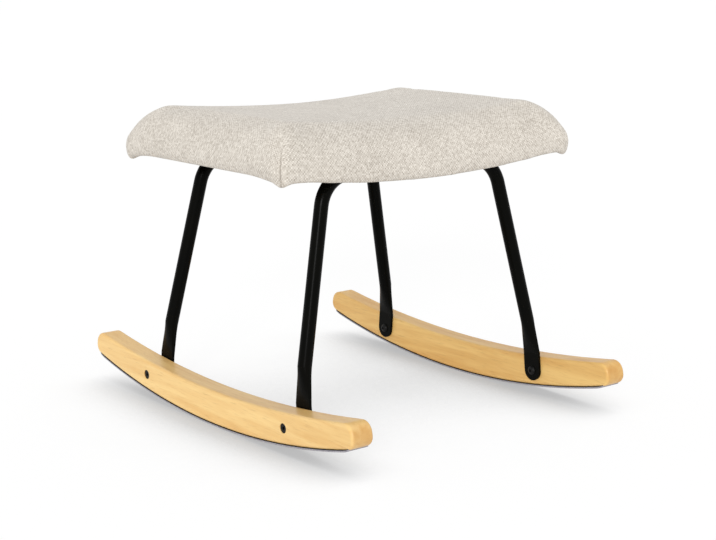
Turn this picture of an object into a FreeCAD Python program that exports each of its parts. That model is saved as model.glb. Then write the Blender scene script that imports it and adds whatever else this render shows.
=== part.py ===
import FreeCAD, Part
import math
import os

import Sketcher

# Rocking footstool: a padded saddle seat on two bent-tube leg frames and two curved rockers.
# Row frame: millimetres, +Z up, X across the rockers, Y along them, front at -Y.
# The origin is on the floor below the middle of the seat.

DRIVING_SIZES = (
    ("rocker_span", 504.0, "outside width over the two rockers"),
    ("rocker_thickness", 35.0, "thickness of one rocker"),
    ("rocker_half_length", 332.0, "middle of the rocker to its end, along Y"),
    ("rocker_underside_radius", 1300.0, "radius of the rocking curve, on the wood"),
    ("rocker_top_radius", 1976.0, "radius of the rocker's upper edge"),
    ("rocker_depth", 49.0, "depth of the rocker at its middle"),
    ("rocker_end_rake", 7.0, "how far the top of the end leans back"),
    ("rocker_top_corner", 17.0, "rounding of the end's upper corner, seen from the side"),
    ("rocker_bottom_corner", 14.0, "rounding of the end's lower corner, seen from the side"),
    ("rocker_edge_round", 4.5, "rounding along the rocker's long edges"),
    ("felt_thickness", 3.0, "thickness of the felt strip"),
    ("felt_side_margin", 1.5, "felt edge to the rocker's side face"),
    ("felt_end_margin", 12.0, "felt end to the rocker's end, along Y"),
    ("bolt_offset", 177.0, "middle of the stool to a rocker bolt, along Y"),
    ("bolt_height", 38.0, "floor to a rocker bolt"),
    ("bolt_diameter", 6.0, "rocker bolt shank"),
    ("bolt_head_diameter", 14.0, "rocker bolt button head"),
    ("bolt_head_height", 3.8, "rocker bolt button head"),
    ("bolt_head_flat", 6.5, "flat around the socket on the button head"),
    ("bolt_head_lip", 0.5, "straight edge of the button head, against the tube's flat end"),
    ("bolt_head_dome_radius", 4.2, "rounding of the button head, seen from the side"),
    ("bolt_grip", 28.0, "length of the rocker bolt under its head"),
    ("socket_width", 4.0, "width across the flats of the sockets in bolts and screws"),
    ("socket_depth", 2.2, "depth of those sockets"),
    ("sleeve_head_diameter", 13.6, "head of the sleeve nut"),
    ("sleeve_head_height", 2.4, "head of the sleeve nut"),
    ("sleeve_recess", 1.0, "sleeve nut head below the rocker's outer face"),
    ("sleeve_diameter", 9.0, "barrel of the sleeve nut"),
    ("sleeve_length", 18.0, "barrel of the sleeve nut"),
    ("sleeve_bore_start", 3.6, "outside of the sleeve nut's head to the end of its thread"),
    ("sleeve_socket_width", 5.0, "width across the flats of the sleeve nut's socket"),
    ("hole_clearance", 0.3, "radial room between a fastener and its hole"),
    ("thread_clearance", 0.1, "radial room between an outer thread and an inner one"),
    ("tube_diameter", 20.0, "outside of the leg tube"),
    ("tube_wall", 2.0, "wall of the leg tube"),
    ("crossbar_over_rim", 10.4, "lower edge of the seat up to the middle of a crossbar"),
    ("crossbar_set_in", 54.0, "front or back of the seat to a crossbar, along Y"),
    ("crossbar_half_straight", 114.5, "middle of the crossbar to the start of its bend"),
    ("tube_bend_radius", 50.0, "centre line radius of the bend between crossbar and leg"),
    ("tab_width", 31.0, "width of the flattened tube end"),
    ("tab_rise", 27.0, "bolt to the line where the flattened end meets the leg"),
    ("flattening_length", 50.0, "height over which the round tube becomes flat"),
    ("leg_set_in", 5.8, "round tube's end inside the middle plane of the flat end"),
    ("frame_screw_offset", 88.0, "middle of the stool to a frame screw, along X"),
    ("frame_screw_diameter", 6.0, "frame screw shank"),
    ("frame_screw_head_diameter", 12.0, "frame screw pan head"),
    ("frame_screw_head_height", 3.6, "frame screw pan head"),
    ("saddle_spacer_height", 4.0, "crossbar to the dust cover at the middle of the stool"),
    ("saddle_spacer_length", 26.0, "spacer along the crossbar"),
    ("saddle_spacer_width", 16.0, "spacer across the crossbar"),
    ("saddle_spacer_wrap", 4.5, "how far the spacer reaches down round the tube"),
    ("seat_half_width", 268.5, "middle of the seat to its widest side, along X"),
    ("seat_half_depth", 200.7, "middle of the seat to its front or back, along Y"),
    ("seat_rim_height", 356.6, "floor to the lower edge of the seat at its middle"),
    ("seat_curve_radius", 1787.0, "radius of the saddle curve at the lower edge"),
    ("seat_thickness", 71.6, "lower edge to the top of the pad, before its crown"),
    ("seat_crown", 7.5, "rise of the pad's middle over its edges"),
    ("seat_widest_height", 14.5, "lower edge to the widest line of the side"),
    ("seat_draw_in", 6.5, "how far the lower edge is drawn in under the widest line"),
    ("seat_end_shoulder", 48.0, "rounding of the left and right shoulders, inwards"),
    ("seat_front_shoulder", 56.0, "rounding of the front and back shoulders, inwards"),
    ("seat_plan_corner", 18.0, "corner radius of the seat seen from above"),
    ("seat_ear_drop", 4.9, "how far the cover's corners hang below the lower edge"),
    ("seat_ear_reach", 30.0, "distance over which such a corner fades out"),
    ("cover_thickness", 1.5, "fabric with its lining"),
    ("cover_hem", 36.0, "turned-in edge of the cover, from the side of the seat"),
    ("side_padding", 12.0, "seat frame to the outside of the cover"),
    ("board_thickness", 9.0, "bent plywood board"),
    ("board_corner", 12.0, "corner radius of the board seen from above"),
    ("rail_width", 20.0, "width of the rails below the board"),
    ("dust_cover_thickness", 0.6, "cloth below the board"),
    ("dust_cover_slack", 0.3, "room between that cloth and the board"),
    ("tee_nut_flange_diameter", 18.0, "flange of the threaded insert"),
    ("tee_nut_flange_thickness", 1.4, "flange of the threaded insert"),
    ("tee_nut_barrel_diameter", 8.0, "barrel of the threaded insert"),
    ("tee_nut_barrel_length", 7.0, "barrel of the threaded insert"),
    ("staple_crown", 10.0, "length of a cover staple"),
    ("staple_wire", 0.8, "thickness of the staple wire"),
    ("staple_inset", 24.0, "side of the seat to a row of staples"),
    ("staple_spacing", 38.0, "distance from one staple to the next"),
    ("cutter_overshoot", 20.0, "how far a cutting shape reaches past what it cuts"),
)

FOLLOWING_SIZES = (
    ("crossbar_height", "=seat_rim_height + crossbar_over_rim", "floor to the middle of a crossbar"),
    ("crossbar_offset", "=seat_half_depth - crossbar_set_in", "middle of the stool to a crossbar, along Y"),
)

LEAST_CUT = 1e-3
STRAIGHT = 1e-3

doc = FreeCAD.newDocument("RockingFootstool")
sheet = doc.addObject("Spreadsheet::Sheet", "Sizes")


def fill_sheet():
    """Write the driving sizes and those that follow from them into the sheet, each with its alias."""
    for row, (alias, value, words) in enumerate(DRIVING_SIZES + FOLLOWING_SIZES, start=1):
        sheet.set("A%d" % row, words)
        sheet.set("B%d" % row, str(value))
        sheet.setAlias("B%d" % row, alias)
    doc.recompute()


def size(alias):
    """Read one driving size back from the sheet."""
    return float(sheet.get(alias))


def tied(words):
    """Turn {alias} in an expression into the sheet's own name for it."""
    return words.replace("{", "Sizes.").replace("}", "")


def value_of(owner, words):
    """Work out what an expression on the sheet comes to."""
    result = owner.evalExpression(tied(words))
    return float(getattr(result, "Value", result))


def new_body(label):
    body = doc.addObject("PartDesign::Body", label)
    body.Label = label
    return body


def origin_feature(body, role):
    """Find one of the body's own origin planes or axes by its role."""
    return [item for item in body.Origin.OriginFeatures if item.Role == role][0]


def attach(feature, body, plane, lift=None, turn=None):
    """Lay a feature on an origin plane, lifted along X, Y or Z of that plane by an expression."""
    feature.AttachmentSupport = [(origin_feature(body, plane), "")]
    feature.MapMode = "FlatFace"
    if turn:
        axis, words = turn
        feature.AttachmentOffset = FreeCAD.Placement(
            FreeCAD.Vector(), FreeCAD.Rotation(FreeCAD.Vector(*axis), value_of(feature, words)))
        feature.setExpression("AttachmentOffset.Rotation.Angle", tied(words))
    for letter, words in (lift or {}).items():
        feature.setExpression("AttachmentOffset.Base.%s" % letter, tied(words))


def new_sketch(body, name, plane, lift=None, turn=None):
    sketch = body.newObject("Sketcher::SketchObject", name)
    attach(sketch, body, plane, lift, turn)
    return sketch


def hold(sketch, words, kind, *references):
    """Add a constraint whose size comes from the sheet."""
    index = sketch.addConstraint(
        Sketcher.Constraint(kind, *references, value_of(sketch, words)))
    sketch.setExpression("Constraints[%d]" % index, tied(words))


def place_point(sketch, geometry, point, across, up):
    """Hold a sketch point at its distances from the sketch's origin; None keeps it on the axis."""
    if across is None:
        sketch.addConstraint(Sketcher.Constraint("PointOnObject", geometry, point, -2))
    else:
        hold_distance(sketch, "DistanceX", geometry, point, across)
    if up is None:
        sketch.addConstraint(Sketcher.Constraint("PointOnObject", geometry, point, -1))
    else:
        hold_distance(sketch, "DistanceY", geometry, point, up)


def hold_distance(sketch, kind, geometry, point, words):
    """Hold a signed distance from the origin: a negative one is measured from the point."""
    if value_of(sketch, words) < 0:
        hold(sketch, "-(%s)" % words, kind, geometry, point, -1, 1)
    else:
        hold(sketch, words, kind, -1, 1, geometry, point)


def draw_circle(sketch, across, up, radius):
    """Draw a circle with its centre at the given distances; None puts it on the axis."""
    centre = FreeCAD.Vector(
        value_of(sketch, across) if across else 0.0, value_of(sketch, up) if up else 0.0, 0)
    circle = sketch.addGeometry(
        Part.Circle(centre, FreeCAD.Vector(0, 0, 1), value_of(sketch, radius)), False)
    place_point(sketch, circle, 3, across, up)
    hold(sketch, radius, "Radius", circle)
    return circle


def draw_outline(sketch, points):
    """Draw a closed outline of straight lines through points given as expressions."""
    corners = [
        FreeCAD.Vector(value_of(sketch, across) if across else 0.0,
                       value_of(sketch, up) if up else 0.0, 0)
        for across, up in points]
    lines = [
        sketch.addGeometry(Part.LineSegment(start, end), False)
        for start, end in zip(corners, corners[1:] + corners[:1])]
    for line, after in zip(lines, lines[1:] + lines[:1]):
        sketch.addConstraint(Sketcher.Constraint("Coincident", line, 2, after, 1))
    for line, (across, up) in zip(lines, points):
        place_point(sketch, line, 1, across, up)
    return lines


def hanging_arc(centre_up, radius, start, end):
    """An arc below its centre, from one distance across to another."""
    centre = FreeCAD.Vector(0, centre_up, 0)
    circle = Part.Circle(centre, FreeCAD.Vector(0, 0, 1), radius)
    angles = [math.asin(across / radius) - math.pi / 2 for across in (start, end)]
    return Part.ArcOfCircle(circle, *angles)


def draw_strip(sketch, centre_up, lower_radius, upper_radius, start, end):
    """Draw a curved strip between two arcs with one centre, closed by two upright ends."""
    across = [value_of(sketch, words) for words in (start, end)]
    lower = value_of(sketch, lower_radius)
    upper = value_of(sketch, upper_radius)
    up = value_of(sketch, centre_up)
    bottom = sketch.addGeometry(hanging_arc(up, lower, *across), False)
    top = sketch.addGeometry(hanging_arc(up, upper, *across), False)
    ends = []
    for distance in across:
        low = FreeCAD.Vector(distance, up - math.sqrt(lower ** 2 - distance ** 2), 0)
        high = FreeCAD.Vector(distance, up - math.sqrt(upper ** 2 - distance ** 2), 0)
        ends.append(sketch.addGeometry(Part.LineSegment(low, high), False))
    place_point(sketch, bottom, 3, None, centre_up)
    sketch.addConstraint(Sketcher.Constraint("Coincident", bottom, 3, top, 3))
    hold(sketch, lower_radius, "Radius", bottom)
    hold(sketch, upper_radius, "Radius", top)
    for point, (line, words) in enumerate(zip(ends, (start, end)), start=1):
        sketch.addConstraint(Sketcher.Constraint("Coincident", line, 1, bottom, point))
        sketch.addConstraint(Sketcher.Constraint("Coincident", line, 2, top, point))
        sketch.addConstraint(Sketcher.Constraint("Vertical", line))
        hold_distance(sketch, "DistanceX", line, 1, words)


def pad(body, name, sketch, length, backwards=False, both_ways=False):
    feature = body.newObject("PartDesign::Pad", name)
    feature.Profile = sketch
    feature.setExpression("Length", tied(length))
    feature.Reversed = backwards
    feature.Midplane = both_ways
    return feature


def pocket(body, name, sketch, depth=None, backwards=False, both_ways=False):
    """Cut a sketch out of its body and make sure that something was cut."""
    before = body.Shape.Volume
    feature = body.newObject("PartDesign::Pocket", name)
    feature.Profile = sketch
    feature.Midplane = both_ways
    feature.Reversed = backwards
    if depth is None:
        feature.Type = "ThroughAll"
    else:
        feature.setExpression("Length", tied(depth))
    doc.recompute()
    if not body.Shape.Volume < before - LEAST_CUT:
        raise ValueError("%s cuts nothing" % name)
    return feature


def round_edges(body, name, base, radius, wanted):
    """Fillet the edges of a feature that a test picks out."""
    doc.recompute()
    edges = enumerate(base.Shape.Edges, start=1)
    names = ["Edge%d" % number for number, edge in edges if wanted(edge)]
    if not names:
        raise ValueError("%s finds no edge to round" % name)
    feature = body.newObject("PartDesign::Fillet", name)
    feature.Base = (base, names)
    feature.setExpression("Radius", tied(radius))
    doc.recompute()
    return feature


def four_of(item, label):
    """Mirror a piece front to back and left to right, and keep the four as one group."""
    behind = doc.addObject("Part::Mirroring", label + "_behind")
    behind.Source = item
    behind.Normal = (0, 1, 0)
    copies = [item, behind]
    for number, source in enumerate((item, behind), start=1):
        across = doc.addObject("Part::Mirroring", "%s_across_%d" % (label, number))
        across.Source = source
        across.Normal = (1, 0, 0)
        copies.append(across)
    group = doc.addObject("Part::Compound", label)
    group.Label = label
    group.Links = copies
    return group


def six_sided_socket(body, width, depth, lift=None):
    """Sink a hexagon socket into the end of a fastener whose axis is the body's X axis."""
    before = body.Shape.Volume
    socket = body.newObject("PartDesign::SubtractivePrism", "Socket")
    attach(socket, body, "YZ_Plane", {"z": lift} if lift else None)
    socket.Polygon = 6
    socket.setExpression("Circumradius", tied("%s / sqrt(3)" % width))
    socket.setExpression("Height", tied(depth))
    doc.recompute()
    if not body.Shape.Volume < before - LEAST_CUT:
        raise ValueError("the socket cuts nothing")


# Rockers

def rocker_outline(sketch):
    """The rocker from the side: rocking curve, flatter upper edge and two raked ends."""
    half = value_of(sketch, "{rocker_half_length}")
    top_half = value_of(sketch, "{rocker_half_length} - {rocker_end_rake}")
    low_centre = "{felt_thickness} + {rocker_underside_radius}"
    high_centre = "{felt_thickness} + {rocker_depth} + {rocker_top_radius}"
    bottom = sketch.addGeometry(hanging_arc(
        value_of(sketch, low_centre), size("rocker_underside_radius"), -half, half), False)
    top = sketch.addGeometry(hanging_arc(
        value_of(sketch, high_centre), size("rocker_top_radius"), -top_half, top_half), False)
    for point, reach in ((1, "-{rocker_half_length}"), (2, "{rocker_half_length}")):
        low = sketch.getPoint(bottom, point)
        high = sketch.getPoint(top, point)
        end = sketch.addGeometry(Part.LineSegment(low, high), False)
        sketch.addConstraint(Sketcher.Constraint("Coincident", end, 1, bottom, point))
        sketch.addConstraint(Sketcher.Constraint("Coincident", end, 2, top, point))
        hold_distance(sketch, "DistanceX", bottom, point, reach)
        inward = "+" if reach.startswith("-") else "-"
        hold_distance(sketch, "DistanceX", top, point, "%s %s {rocker_end_rake}" % (reach, inward))
    place_point(sketch, bottom, 3, None, low_centre)
    place_point(sketch, top, 3, None, high_centre)
    hold(sketch, "{rocker_underside_radius}", "Radius", bottom)
    hold(sketch, "{rocker_top_radius}", "Radius", top)


def make_rocker(label, side):
    """One rocker with its stepped bolt holes; side is -1 on the left and 1 on the right."""
    body = new_body(label)
    outline = new_sketch(body, "Outline", "YZ_Plane")
    rocker_outline(outline)
    blank = pad(body, "Blank", outline, "{rocker_thickness}", backwards=side > 0)
    doc.recompute()

    def crosses(edge):
        return edge.BoundBox.YLength < STRAIGHT and edge.BoundBox.ZLength < STRAIGHT

    heights = [edge.BoundBox.ZMin for edge in blank.Shape.Edges if crosses(edge)]
    halfway = (min(heights) + max(heights)) / 2
    upper = round_edges(body, "UpperEndCorners", blank, "{rocker_top_corner}",
                        lambda edge: crosses(edge) and edge.BoundBox.ZMin > halfway)
    lower = round_edges(body, "LowerEndCorners", upper, "{rocker_bottom_corner}",
                        lambda edge: crosses(edge) and edge.BoundBox.ZMin < min(heights) + STRAIGHT)
    round_edges(body, "LongEdges", lower, "{rocker_edge_round}",
                lambda edge: edge.BoundBox.XLength < STRAIGHT)
    inwards = side < 0
    steps = (
        ("BoltHole", "{bolt_diameter} / 2 + {hole_clearance}", None),
        ("SleeveHole", "{sleeve_diameter} / 2 + {hole_clearance}",
         "{sleeve_recess} + {sleeve_head_height} + {sleeve_length} + {hole_clearance}"),
        ("SleeveHeadRecess", "{sleeve_head_diameter} / 2 + {hole_clearance}",
         "{sleeve_recess} + {sleeve_head_height}"),
    )
    for name, radius, depth in steps:
        holes = new_sketch(body, name + "Sketch", "YZ_Plane")
        for across in ("{bolt_offset}", "-{bolt_offset}"):
            draw_circle(holes, across, "{bolt_height}", radius)
        pocket(body, name, holes, depth, backwards=inwards)
    body.setExpression("Placement.Base.x", tied("%d * {rocker_span} / 2" % side))
    return body


def make_felt_strip(label, side):
    """The felt below one rocker, bent to its rocking curve."""
    body = new_body(label)
    outline = new_sketch(body, "Outline", "YZ_Plane")
    reach = "{rocker_half_length} - {felt_end_margin}"
    draw_strip(outline, "{felt_thickness} + {rocker_underside_radius}",
               "{felt_thickness} + {rocker_underside_radius}", "{rocker_underside_radius}",
               "-(%s)" % reach, reach)
    pad(body, "Strip", outline, "{rocker_thickness} - 2 * {felt_side_margin}", both_ways=True)
    body.setExpression("Placement.Base.x",
                       tied("%d * ({rocker_span} - {rocker_thickness}) / 2" % side))
    return body


# Leg frames

FRAME_DROP = "({crossbar_height} - {bolt_height})"
FRAME_SPLAY = "({bolt_offset} - {crossbar_offset})"
FRAME_TILT = "atan2(%s; %s)" % (FRAME_SPLAY, FRAME_DROP)
FRAME_LENGTH = "sqrt(pow(%s; 2) + pow(%s; 2))" % (FRAME_DROP, FRAME_SPLAY)
TAB_FACE = "({rocker_span} / 2 - {rocker_thickness})"
TAB_THICKNESS = "(2 * {tube_wall})"
TAB_TOP = "(%s - {tab_rise})" % FRAME_LENGTH
LEG_END_ACROSS = "(%s - %s / 2 - {leg_set_in})" % (TAB_FACE, TAB_THICKNESS)
LEG_END_DOWN = "(%s - {flattening_length})" % TAB_TOP
LEG_OUT = "(%s - {crossbar_half_straight})" % LEG_END_ACROSS
LEG_BELOW_BEND = "(%s - {tube_bend_radius})" % LEG_END_DOWN
LEG_LEAN = "(acos({tube_bend_radius} / sqrt(pow(%s; 2) + pow(%s; 2))) - atan2(%s; %s))" % (
    LEG_OUT, LEG_BELOW_BEND, LEG_BELOW_BEND, LEG_OUT)


def leg_path(sketch):
    """Half of the tube's centre line: half the crossbar, the bend and one leg."""
    straight = size("crossbar_half_straight")
    radius = size("tube_bend_radius")
    end = FreeCAD.Vector(value_of(sketch, LEG_END_ACROSS), -value_of(sketch, LEG_END_DOWN), 0)
    centre = FreeCAD.Vector(straight, -radius, 0)
    lean = math.radians(value_of(sketch, LEG_LEAN))
    touch = centre + FreeCAD.Vector(radius * math.cos(lean), radius * math.sin(lean), 0)
    bar = sketch.addGeometry(Part.LineSegment(FreeCAD.Vector(), FreeCAD.Vector(straight, 0, 0)), False)
    bend = sketch.addGeometry(Part.ArcOfCircle(
        Part.Circle(centre, FreeCAD.Vector(0, 0, 1), radius), lean, math.pi / 2), False)
    leg = sketch.addGeometry(Part.LineSegment(touch, end), False)
    sketch.addConstraint(Sketcher.Constraint("Coincident", bar, 1, -1, 1))
    sketch.addConstraint(Sketcher.Constraint("Horizontal", bar))
    sketch.addConstraint(Sketcher.Constraint("Tangent", bar, 2, bend, 2))
    sketch.addConstraint(Sketcher.Constraint("Tangent", bend, 1, leg, 1))
    hold(sketch, "{crossbar_half_straight}", "DistanceX", bar, 1, bar, 2)
    hold(sketch, "{tube_bend_radius}", "Radius", bend)
    place_point(sketch, leg, 2, LEG_END_ACROSS, "-" + LEG_END_DOWN)


def round_section(sketch):
    """The round tube as two broad arcs, which flatten, and two short ones, which become edges."""
    radius = size("tube_diameter") / 2
    circle = Part.Circle(FreeCAD.Vector(), FreeCAD.Vector(0, 0, 1), radius)
    breaks = [math.radians(angle) for angle in (-60, 60, 120, 240, 300)]
    arcs = [
        sketch.addGeometry(Part.ArcOfCircle(circle, start, end), False)
        for start, end in zip(breaks, breaks[1:])]
    for arc, after in zip(arcs, arcs[1:] + arcs[:1]):
        sketch.addConstraint(Sketcher.Constraint("Coincident", arc, 2, after, 1))
        sketch.addConstraint(Sketcher.Constraint("Coincident", arc, 3, -1, 1))
    hold(sketch, "{tube_diameter} / 2", "Radius", arcs[0])
    for arc, across in ((arcs[0], "1"), (arcs[2], "-1")):
        hold_distance(sketch, "DistanceX", arc, 1, "%s * {tube_diameter} / 4" % across)
        hold_distance(sketch, "DistanceX", arc, 2, "%s * {tube_diameter} / 4" % across)


def flat_section(sketch):
    """The flattened tube: twice its wall thick, and wide across the stool's Y."""
    half = TAB_THICKNESS + " / 2"
    wide = "{tab_width} / 2"
    draw_outline(sketch, (
        (half, "-" + wide), (half, wide), ("-" + half, wide), ("-" + half, "-" + wide)))


def tab_outline(sketch):
    """The flat end from the side: straight edges, a round lower end and the bolt hole."""
    half = size("tab_width") / 2
    top = -value_of(sketch, TAB_TOP)
    low = -value_of(sketch, FRAME_LENGTH)
    corners = [
        FreeCAD.Vector(across, up, 0)
        for across, up in ((-half, low), (-half, top), (half, top), (half, low))]
    lines = [
        sketch.addGeometry(Part.LineSegment(start, end), False)
        for start, end in zip(corners, corners[1:])]
    end = sketch.addGeometry(Part.ArcOfCircle(
        Part.Circle(FreeCAD.Vector(0, low, 0), FreeCAD.Vector(0, 0, 1), half), math.pi, 2 * math.pi), False)
    for line, after in zip(lines, lines[1:]):
        sketch.addConstraint(Sketcher.Constraint("Coincident", line, 2, after, 1))
    sketch.addConstraint(Sketcher.Constraint("Horizontal", lines[1]))
    sketch.addConstraint(Sketcher.Constraint("Tangent", lines[2], 2, end, 2))
    sketch.addConstraint(Sketcher.Constraint("Tangent", end, 1, lines[0], 1))
    sketch.addConstraint(Sketcher.Constraint("Vertical", lines[0]))
    place_point(sketch, end, 3, None, "-" + FRAME_LENGTH)
    hold(sketch, "{tab_width} / 2", "Radius", end)
    hold_distance(sketch, "DistanceY", lines[1], 1, "-" + TAB_TOP)
    draw_circle(sketch, None, "-" + FRAME_LENGTH, "{bolt_diameter} / 2 + {hole_clearance}")


def make_leg_frame(label, side):
    """One bent tube with flattened ends; side is -1 at the front and 1 at the back.

    The body's own origin is the middle of the crossbar, and its XZ plane is the plane of the frame.
    """
    body = new_body(label)
    path = new_sketch(body, "CentreLine", "XZ_Plane")
    leg_path(path)
    ring = new_sketch(body, "TubeSection", "YZ_Plane")
    for radius in ("{tube_diameter} / 2", "{tube_diameter} / 2 - {tube_wall}"):
        draw_circle(ring, None, None, radius)
    doc.recompute()
    tube = body.newObject("PartDesign::AdditivePipe", "Tube")
    tube.Profile = ring
    tube.Spine = (path, [])
    doc.recompute()
    round_end = new_sketch(body, "RoundEnd", "XY_Plane",
                           {"x": LEG_END_ACROSS, "z": "-" + LEG_END_DOWN},
                           turn=((0, 1, 0), "-" + LEG_LEAN))
    round_section(round_end)
    middle = "(%s - %s / 2)" % (TAB_FACE, TAB_THICKNESS)
    flat_end = new_sketch(body, "FlatEnd", "XY_Plane", {"x": middle, "z": "-" + TAB_TOP})
    flat_section(flat_end)
    doc.recompute()
    flattening = body.newObject("PartDesign::AdditiveLoft", "Flattening")
    flattening.Profile = round_end
    flattening.Sections = [(flat_end, [""])]
    doc.recompute()
    plate = new_sketch(body, "TabOutline", "YZ_Plane", {"z": "%s - %s" % (TAB_FACE, TAB_THICKNESS)})
    tab_outline(plate)
    tab = pad(body, "Tab", plate, TAB_THICKNESS)
    doc.recompute()
    other_half = body.newObject("PartDesign::Mirrored", "OtherHalf")
    other_half.Originals = [tube, flattening, tab]
    other_half.MirrorPlane = (origin_feature(body, "YZ_Plane"), [""])
    body.Tip = other_half
    doc.recompute()
    holes = new_sketch(body, "ScrewHolesSketch", "XY_Plane",
                       turn=((1, 0, 0), "%d * %s" % (-side, FRAME_TILT)))
    for across in ("{frame_screw_offset}", "-{frame_screw_offset}"):
        draw_circle(holes, across, None, "{frame_screw_diameter} / 2 + {hole_clearance}")
    pocket(body, "ScrewHoles", holes, both_ways=True)
    tilt = "%d * %s" % (side, FRAME_TILT)
    body.Placement = FreeCAD.Placement(
        FreeCAD.Vector(), FreeCAD.Rotation(FreeCAD.Vector(1, 0, 0), value_of(path, tilt)))
    body.setExpression("Placement.Base.y", tied("%d * {crossbar_offset}" % side))
    body.setExpression("Placement.Base.z", tied("{crossbar_height}"))
    body.setExpression("Placement.Rotation.Angle", tied(tilt))
    return body


# Fasteners between the leg frames and the rockers

def button_profile(sketch):
    """Half of the button-head bolt, turned about the X axis; the head is on the -X side."""
    head = value_of(sketch, "{bolt_head_height}")
    flat = value_of(sketch, "{bolt_head_flat} / 2")
    wide = value_of(sketch, "{bolt_head_diameter} / 2")
    shank = value_of(sketch, "{bolt_diameter} / 2")
    grip = value_of(sketch, "{bolt_grip}")
    lip = size("bolt_head_lip")
    points = [FreeCAD.Vector(along, out, 0) for along, out in (
        (-lip, wide), (0, wide), (0, shank), (grip, shank), (grip, 0), (-head, 0), (-head, flat))]
    lines = [
        sketch.addGeometry(Part.LineSegment(start, end), False)
        for start, end in zip(points, points[1:])]
    chord = points[0] - points[-1]
    radius = size("bolt_head_dome_radius")
    rise = radius - math.sqrt(radius ** 2 - chord.Length ** 2 / 4)
    outward = FreeCAD.Vector(-chord.y, chord.x, 0).normalize()
    crest = points[-1] + chord / 2 + outward * rise
    dome = sketch.addGeometry(Part.Arc(points[-1], crest, points[0]), False)
    for line, after in zip(lines, lines[1:]):
        sketch.addConstraint(Sketcher.Constraint("Coincident", line, 2, after, 1))
    ends = {}
    for point in (1, 2):
        near_flat = sketch.getPoint(dome, point).distanceToPoint(points[-1]) < STRAIGHT
        ends["flat" if near_flat else "lip"] = point
    sketch.addConstraint(Sketcher.Constraint("Coincident", lines[-1], 2, dome, ends["flat"]))
    sketch.addConstraint(Sketcher.Constraint("Coincident", lines[0], 1, dome, ends["lip"]))
    place_point(sketch, lines[0], 1, "-{bolt_head_lip}", "{bolt_head_diameter} / 2")
    place_point(sketch, lines[1], 1, None, "{bolt_head_diameter} / 2")
    place_point(sketch, lines[2], 1, None, "{bolt_diameter} / 2")
    place_point(sketch, lines[3], 1, "{bolt_grip}", "{bolt_diameter} / 2")
    place_point(sketch, lines[4], 1, "{bolt_grip}", None)
    place_point(sketch, lines[5], 1, "-{bolt_head_height}", None)
    place_point(sketch, lines[5], 2, "-{bolt_head_height}", "{bolt_head_flat} / 2")
    hold(sketch, "{bolt_head_dome_radius}", "Radius", dome)


def turned(body, name, sketch):
    """Revolve a half profile about the body's X axis."""
    feature = body.newObject("PartDesign::Revolution", name)
    feature.Profile = sketch
    feature.ReferenceAxis = (origin_feature(body, "X_Axis"), [""])
    feature.Angle = 360.0
    doc.recompute()
    return feature


def make_rocker_bolts():
    """Button-head bolts through the flat tube ends into the rockers."""
    body = new_body("rocker_bolt")
    half = new_sketch(body, "HalfProfile", "XY_Plane")
    button_profile(half)
    turned(body, "Bolt", half)
    six_sided_socket(body, "{socket_width}", "{socket_depth}", "-{bolt_head_height}")
    body.setExpression("Placement.Base.x", tied("%s - %s" % (TAB_FACE, TAB_THICKNESS)))
    body.setExpression("Placement.Base.y", tied("{bolt_offset}"))
    body.setExpression("Placement.Base.z", tied("{bolt_height}"))
    return four_of(body, "rocker_bolts")


def make_sleeve_nuts():
    """Blind sleeve nuts sunk into the rockers' outer faces, which the bolts screw into."""
    body = new_body("sleeve_nut")
    half = new_sketch(body, "HalfProfile", "XY_Plane")
    head = "{sleeve_head_height}"
    head_radius = "{sleeve_head_diameter} / 2"
    barrel_end = "{sleeve_head_height} + {sleeve_length}"
    bore = "{bolt_diameter} / 2 + {thread_clearance}"
    bore_end = "{sleeve_bore_start}"
    draw_outline(half, (
        (None, None), (None, head_radius), (head, head_radius), (head, "{sleeve_diameter} / 2"),
        (barrel_end, "{sleeve_diameter} / 2"), (barrel_end, bore), (bore_end, bore), (bore_end, None)))
    turned(body, "Nut", half)
    six_sided_socket(body, "{sleeve_socket_width}", "{socket_depth}")
    body.setExpression("Placement.Base.x", tied("{sleeve_recess} - {rocker_span} / 2"))
    body.setExpression("Placement.Base.y", tied("{bolt_offset}"))
    body.setExpression("Placement.Base.z", tied("{bolt_height}"))
    return four_of(body, "sleeve_nuts")


# Seat frame

SADDLE_CENTRE = "({seat_rim_height} + {seat_curve_radius})"
CROSSBAR_TOP = "({crossbar_height} + {tube_diameter} / 2)"
CLOTH_HEIGHT = "(%s + {saddle_spacer_height})" % CROSSBAR_TOP
CLOTH_TOP = "(%s + {dust_cover_thickness})" % CLOTH_HEIGHT
BOARD_BOTTOM = "(%s + {dust_cover_slack})" % CLOTH_TOP
BOARD_TOP = "(%s + {board_thickness})" % BOARD_BOTTOM
RAIL_BOTTOM = "({seat_rim_height} + {cover_thickness})"
FRAME_HALF_WIDTH = "({seat_half_width} - {side_padding})"
FRAME_HALF_DEPTH = "({seat_half_depth} - {side_padding})"


def saddle_radius(height):
    """Radius of the saddle layer that is at this height in the middle of the seat."""
    return "(%s - %s)" % (SADDLE_CENTRE, height)


def saddle_strip(sketch, low, high, start, end):
    """A layer of the saddle seen from the front, between two heights."""
    draw_strip(sketch, SADDLE_CENTRE, saddle_radius(low), saddle_radius(high), start, end)


def make_saddle_layer(label, low, high, half_width, half_depth):
    """A saddle-shaped sheet or board, centred on the stool."""
    body = new_body(label)
    outline = new_sketch(body, "Outline", "XZ_Plane")
    saddle_strip(outline, low, high, "-" + half_width, half_width)
    pad(body, "Layer", outline, "2 * " + half_depth, both_ways=True)
    doc.recompute()
    return body


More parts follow.
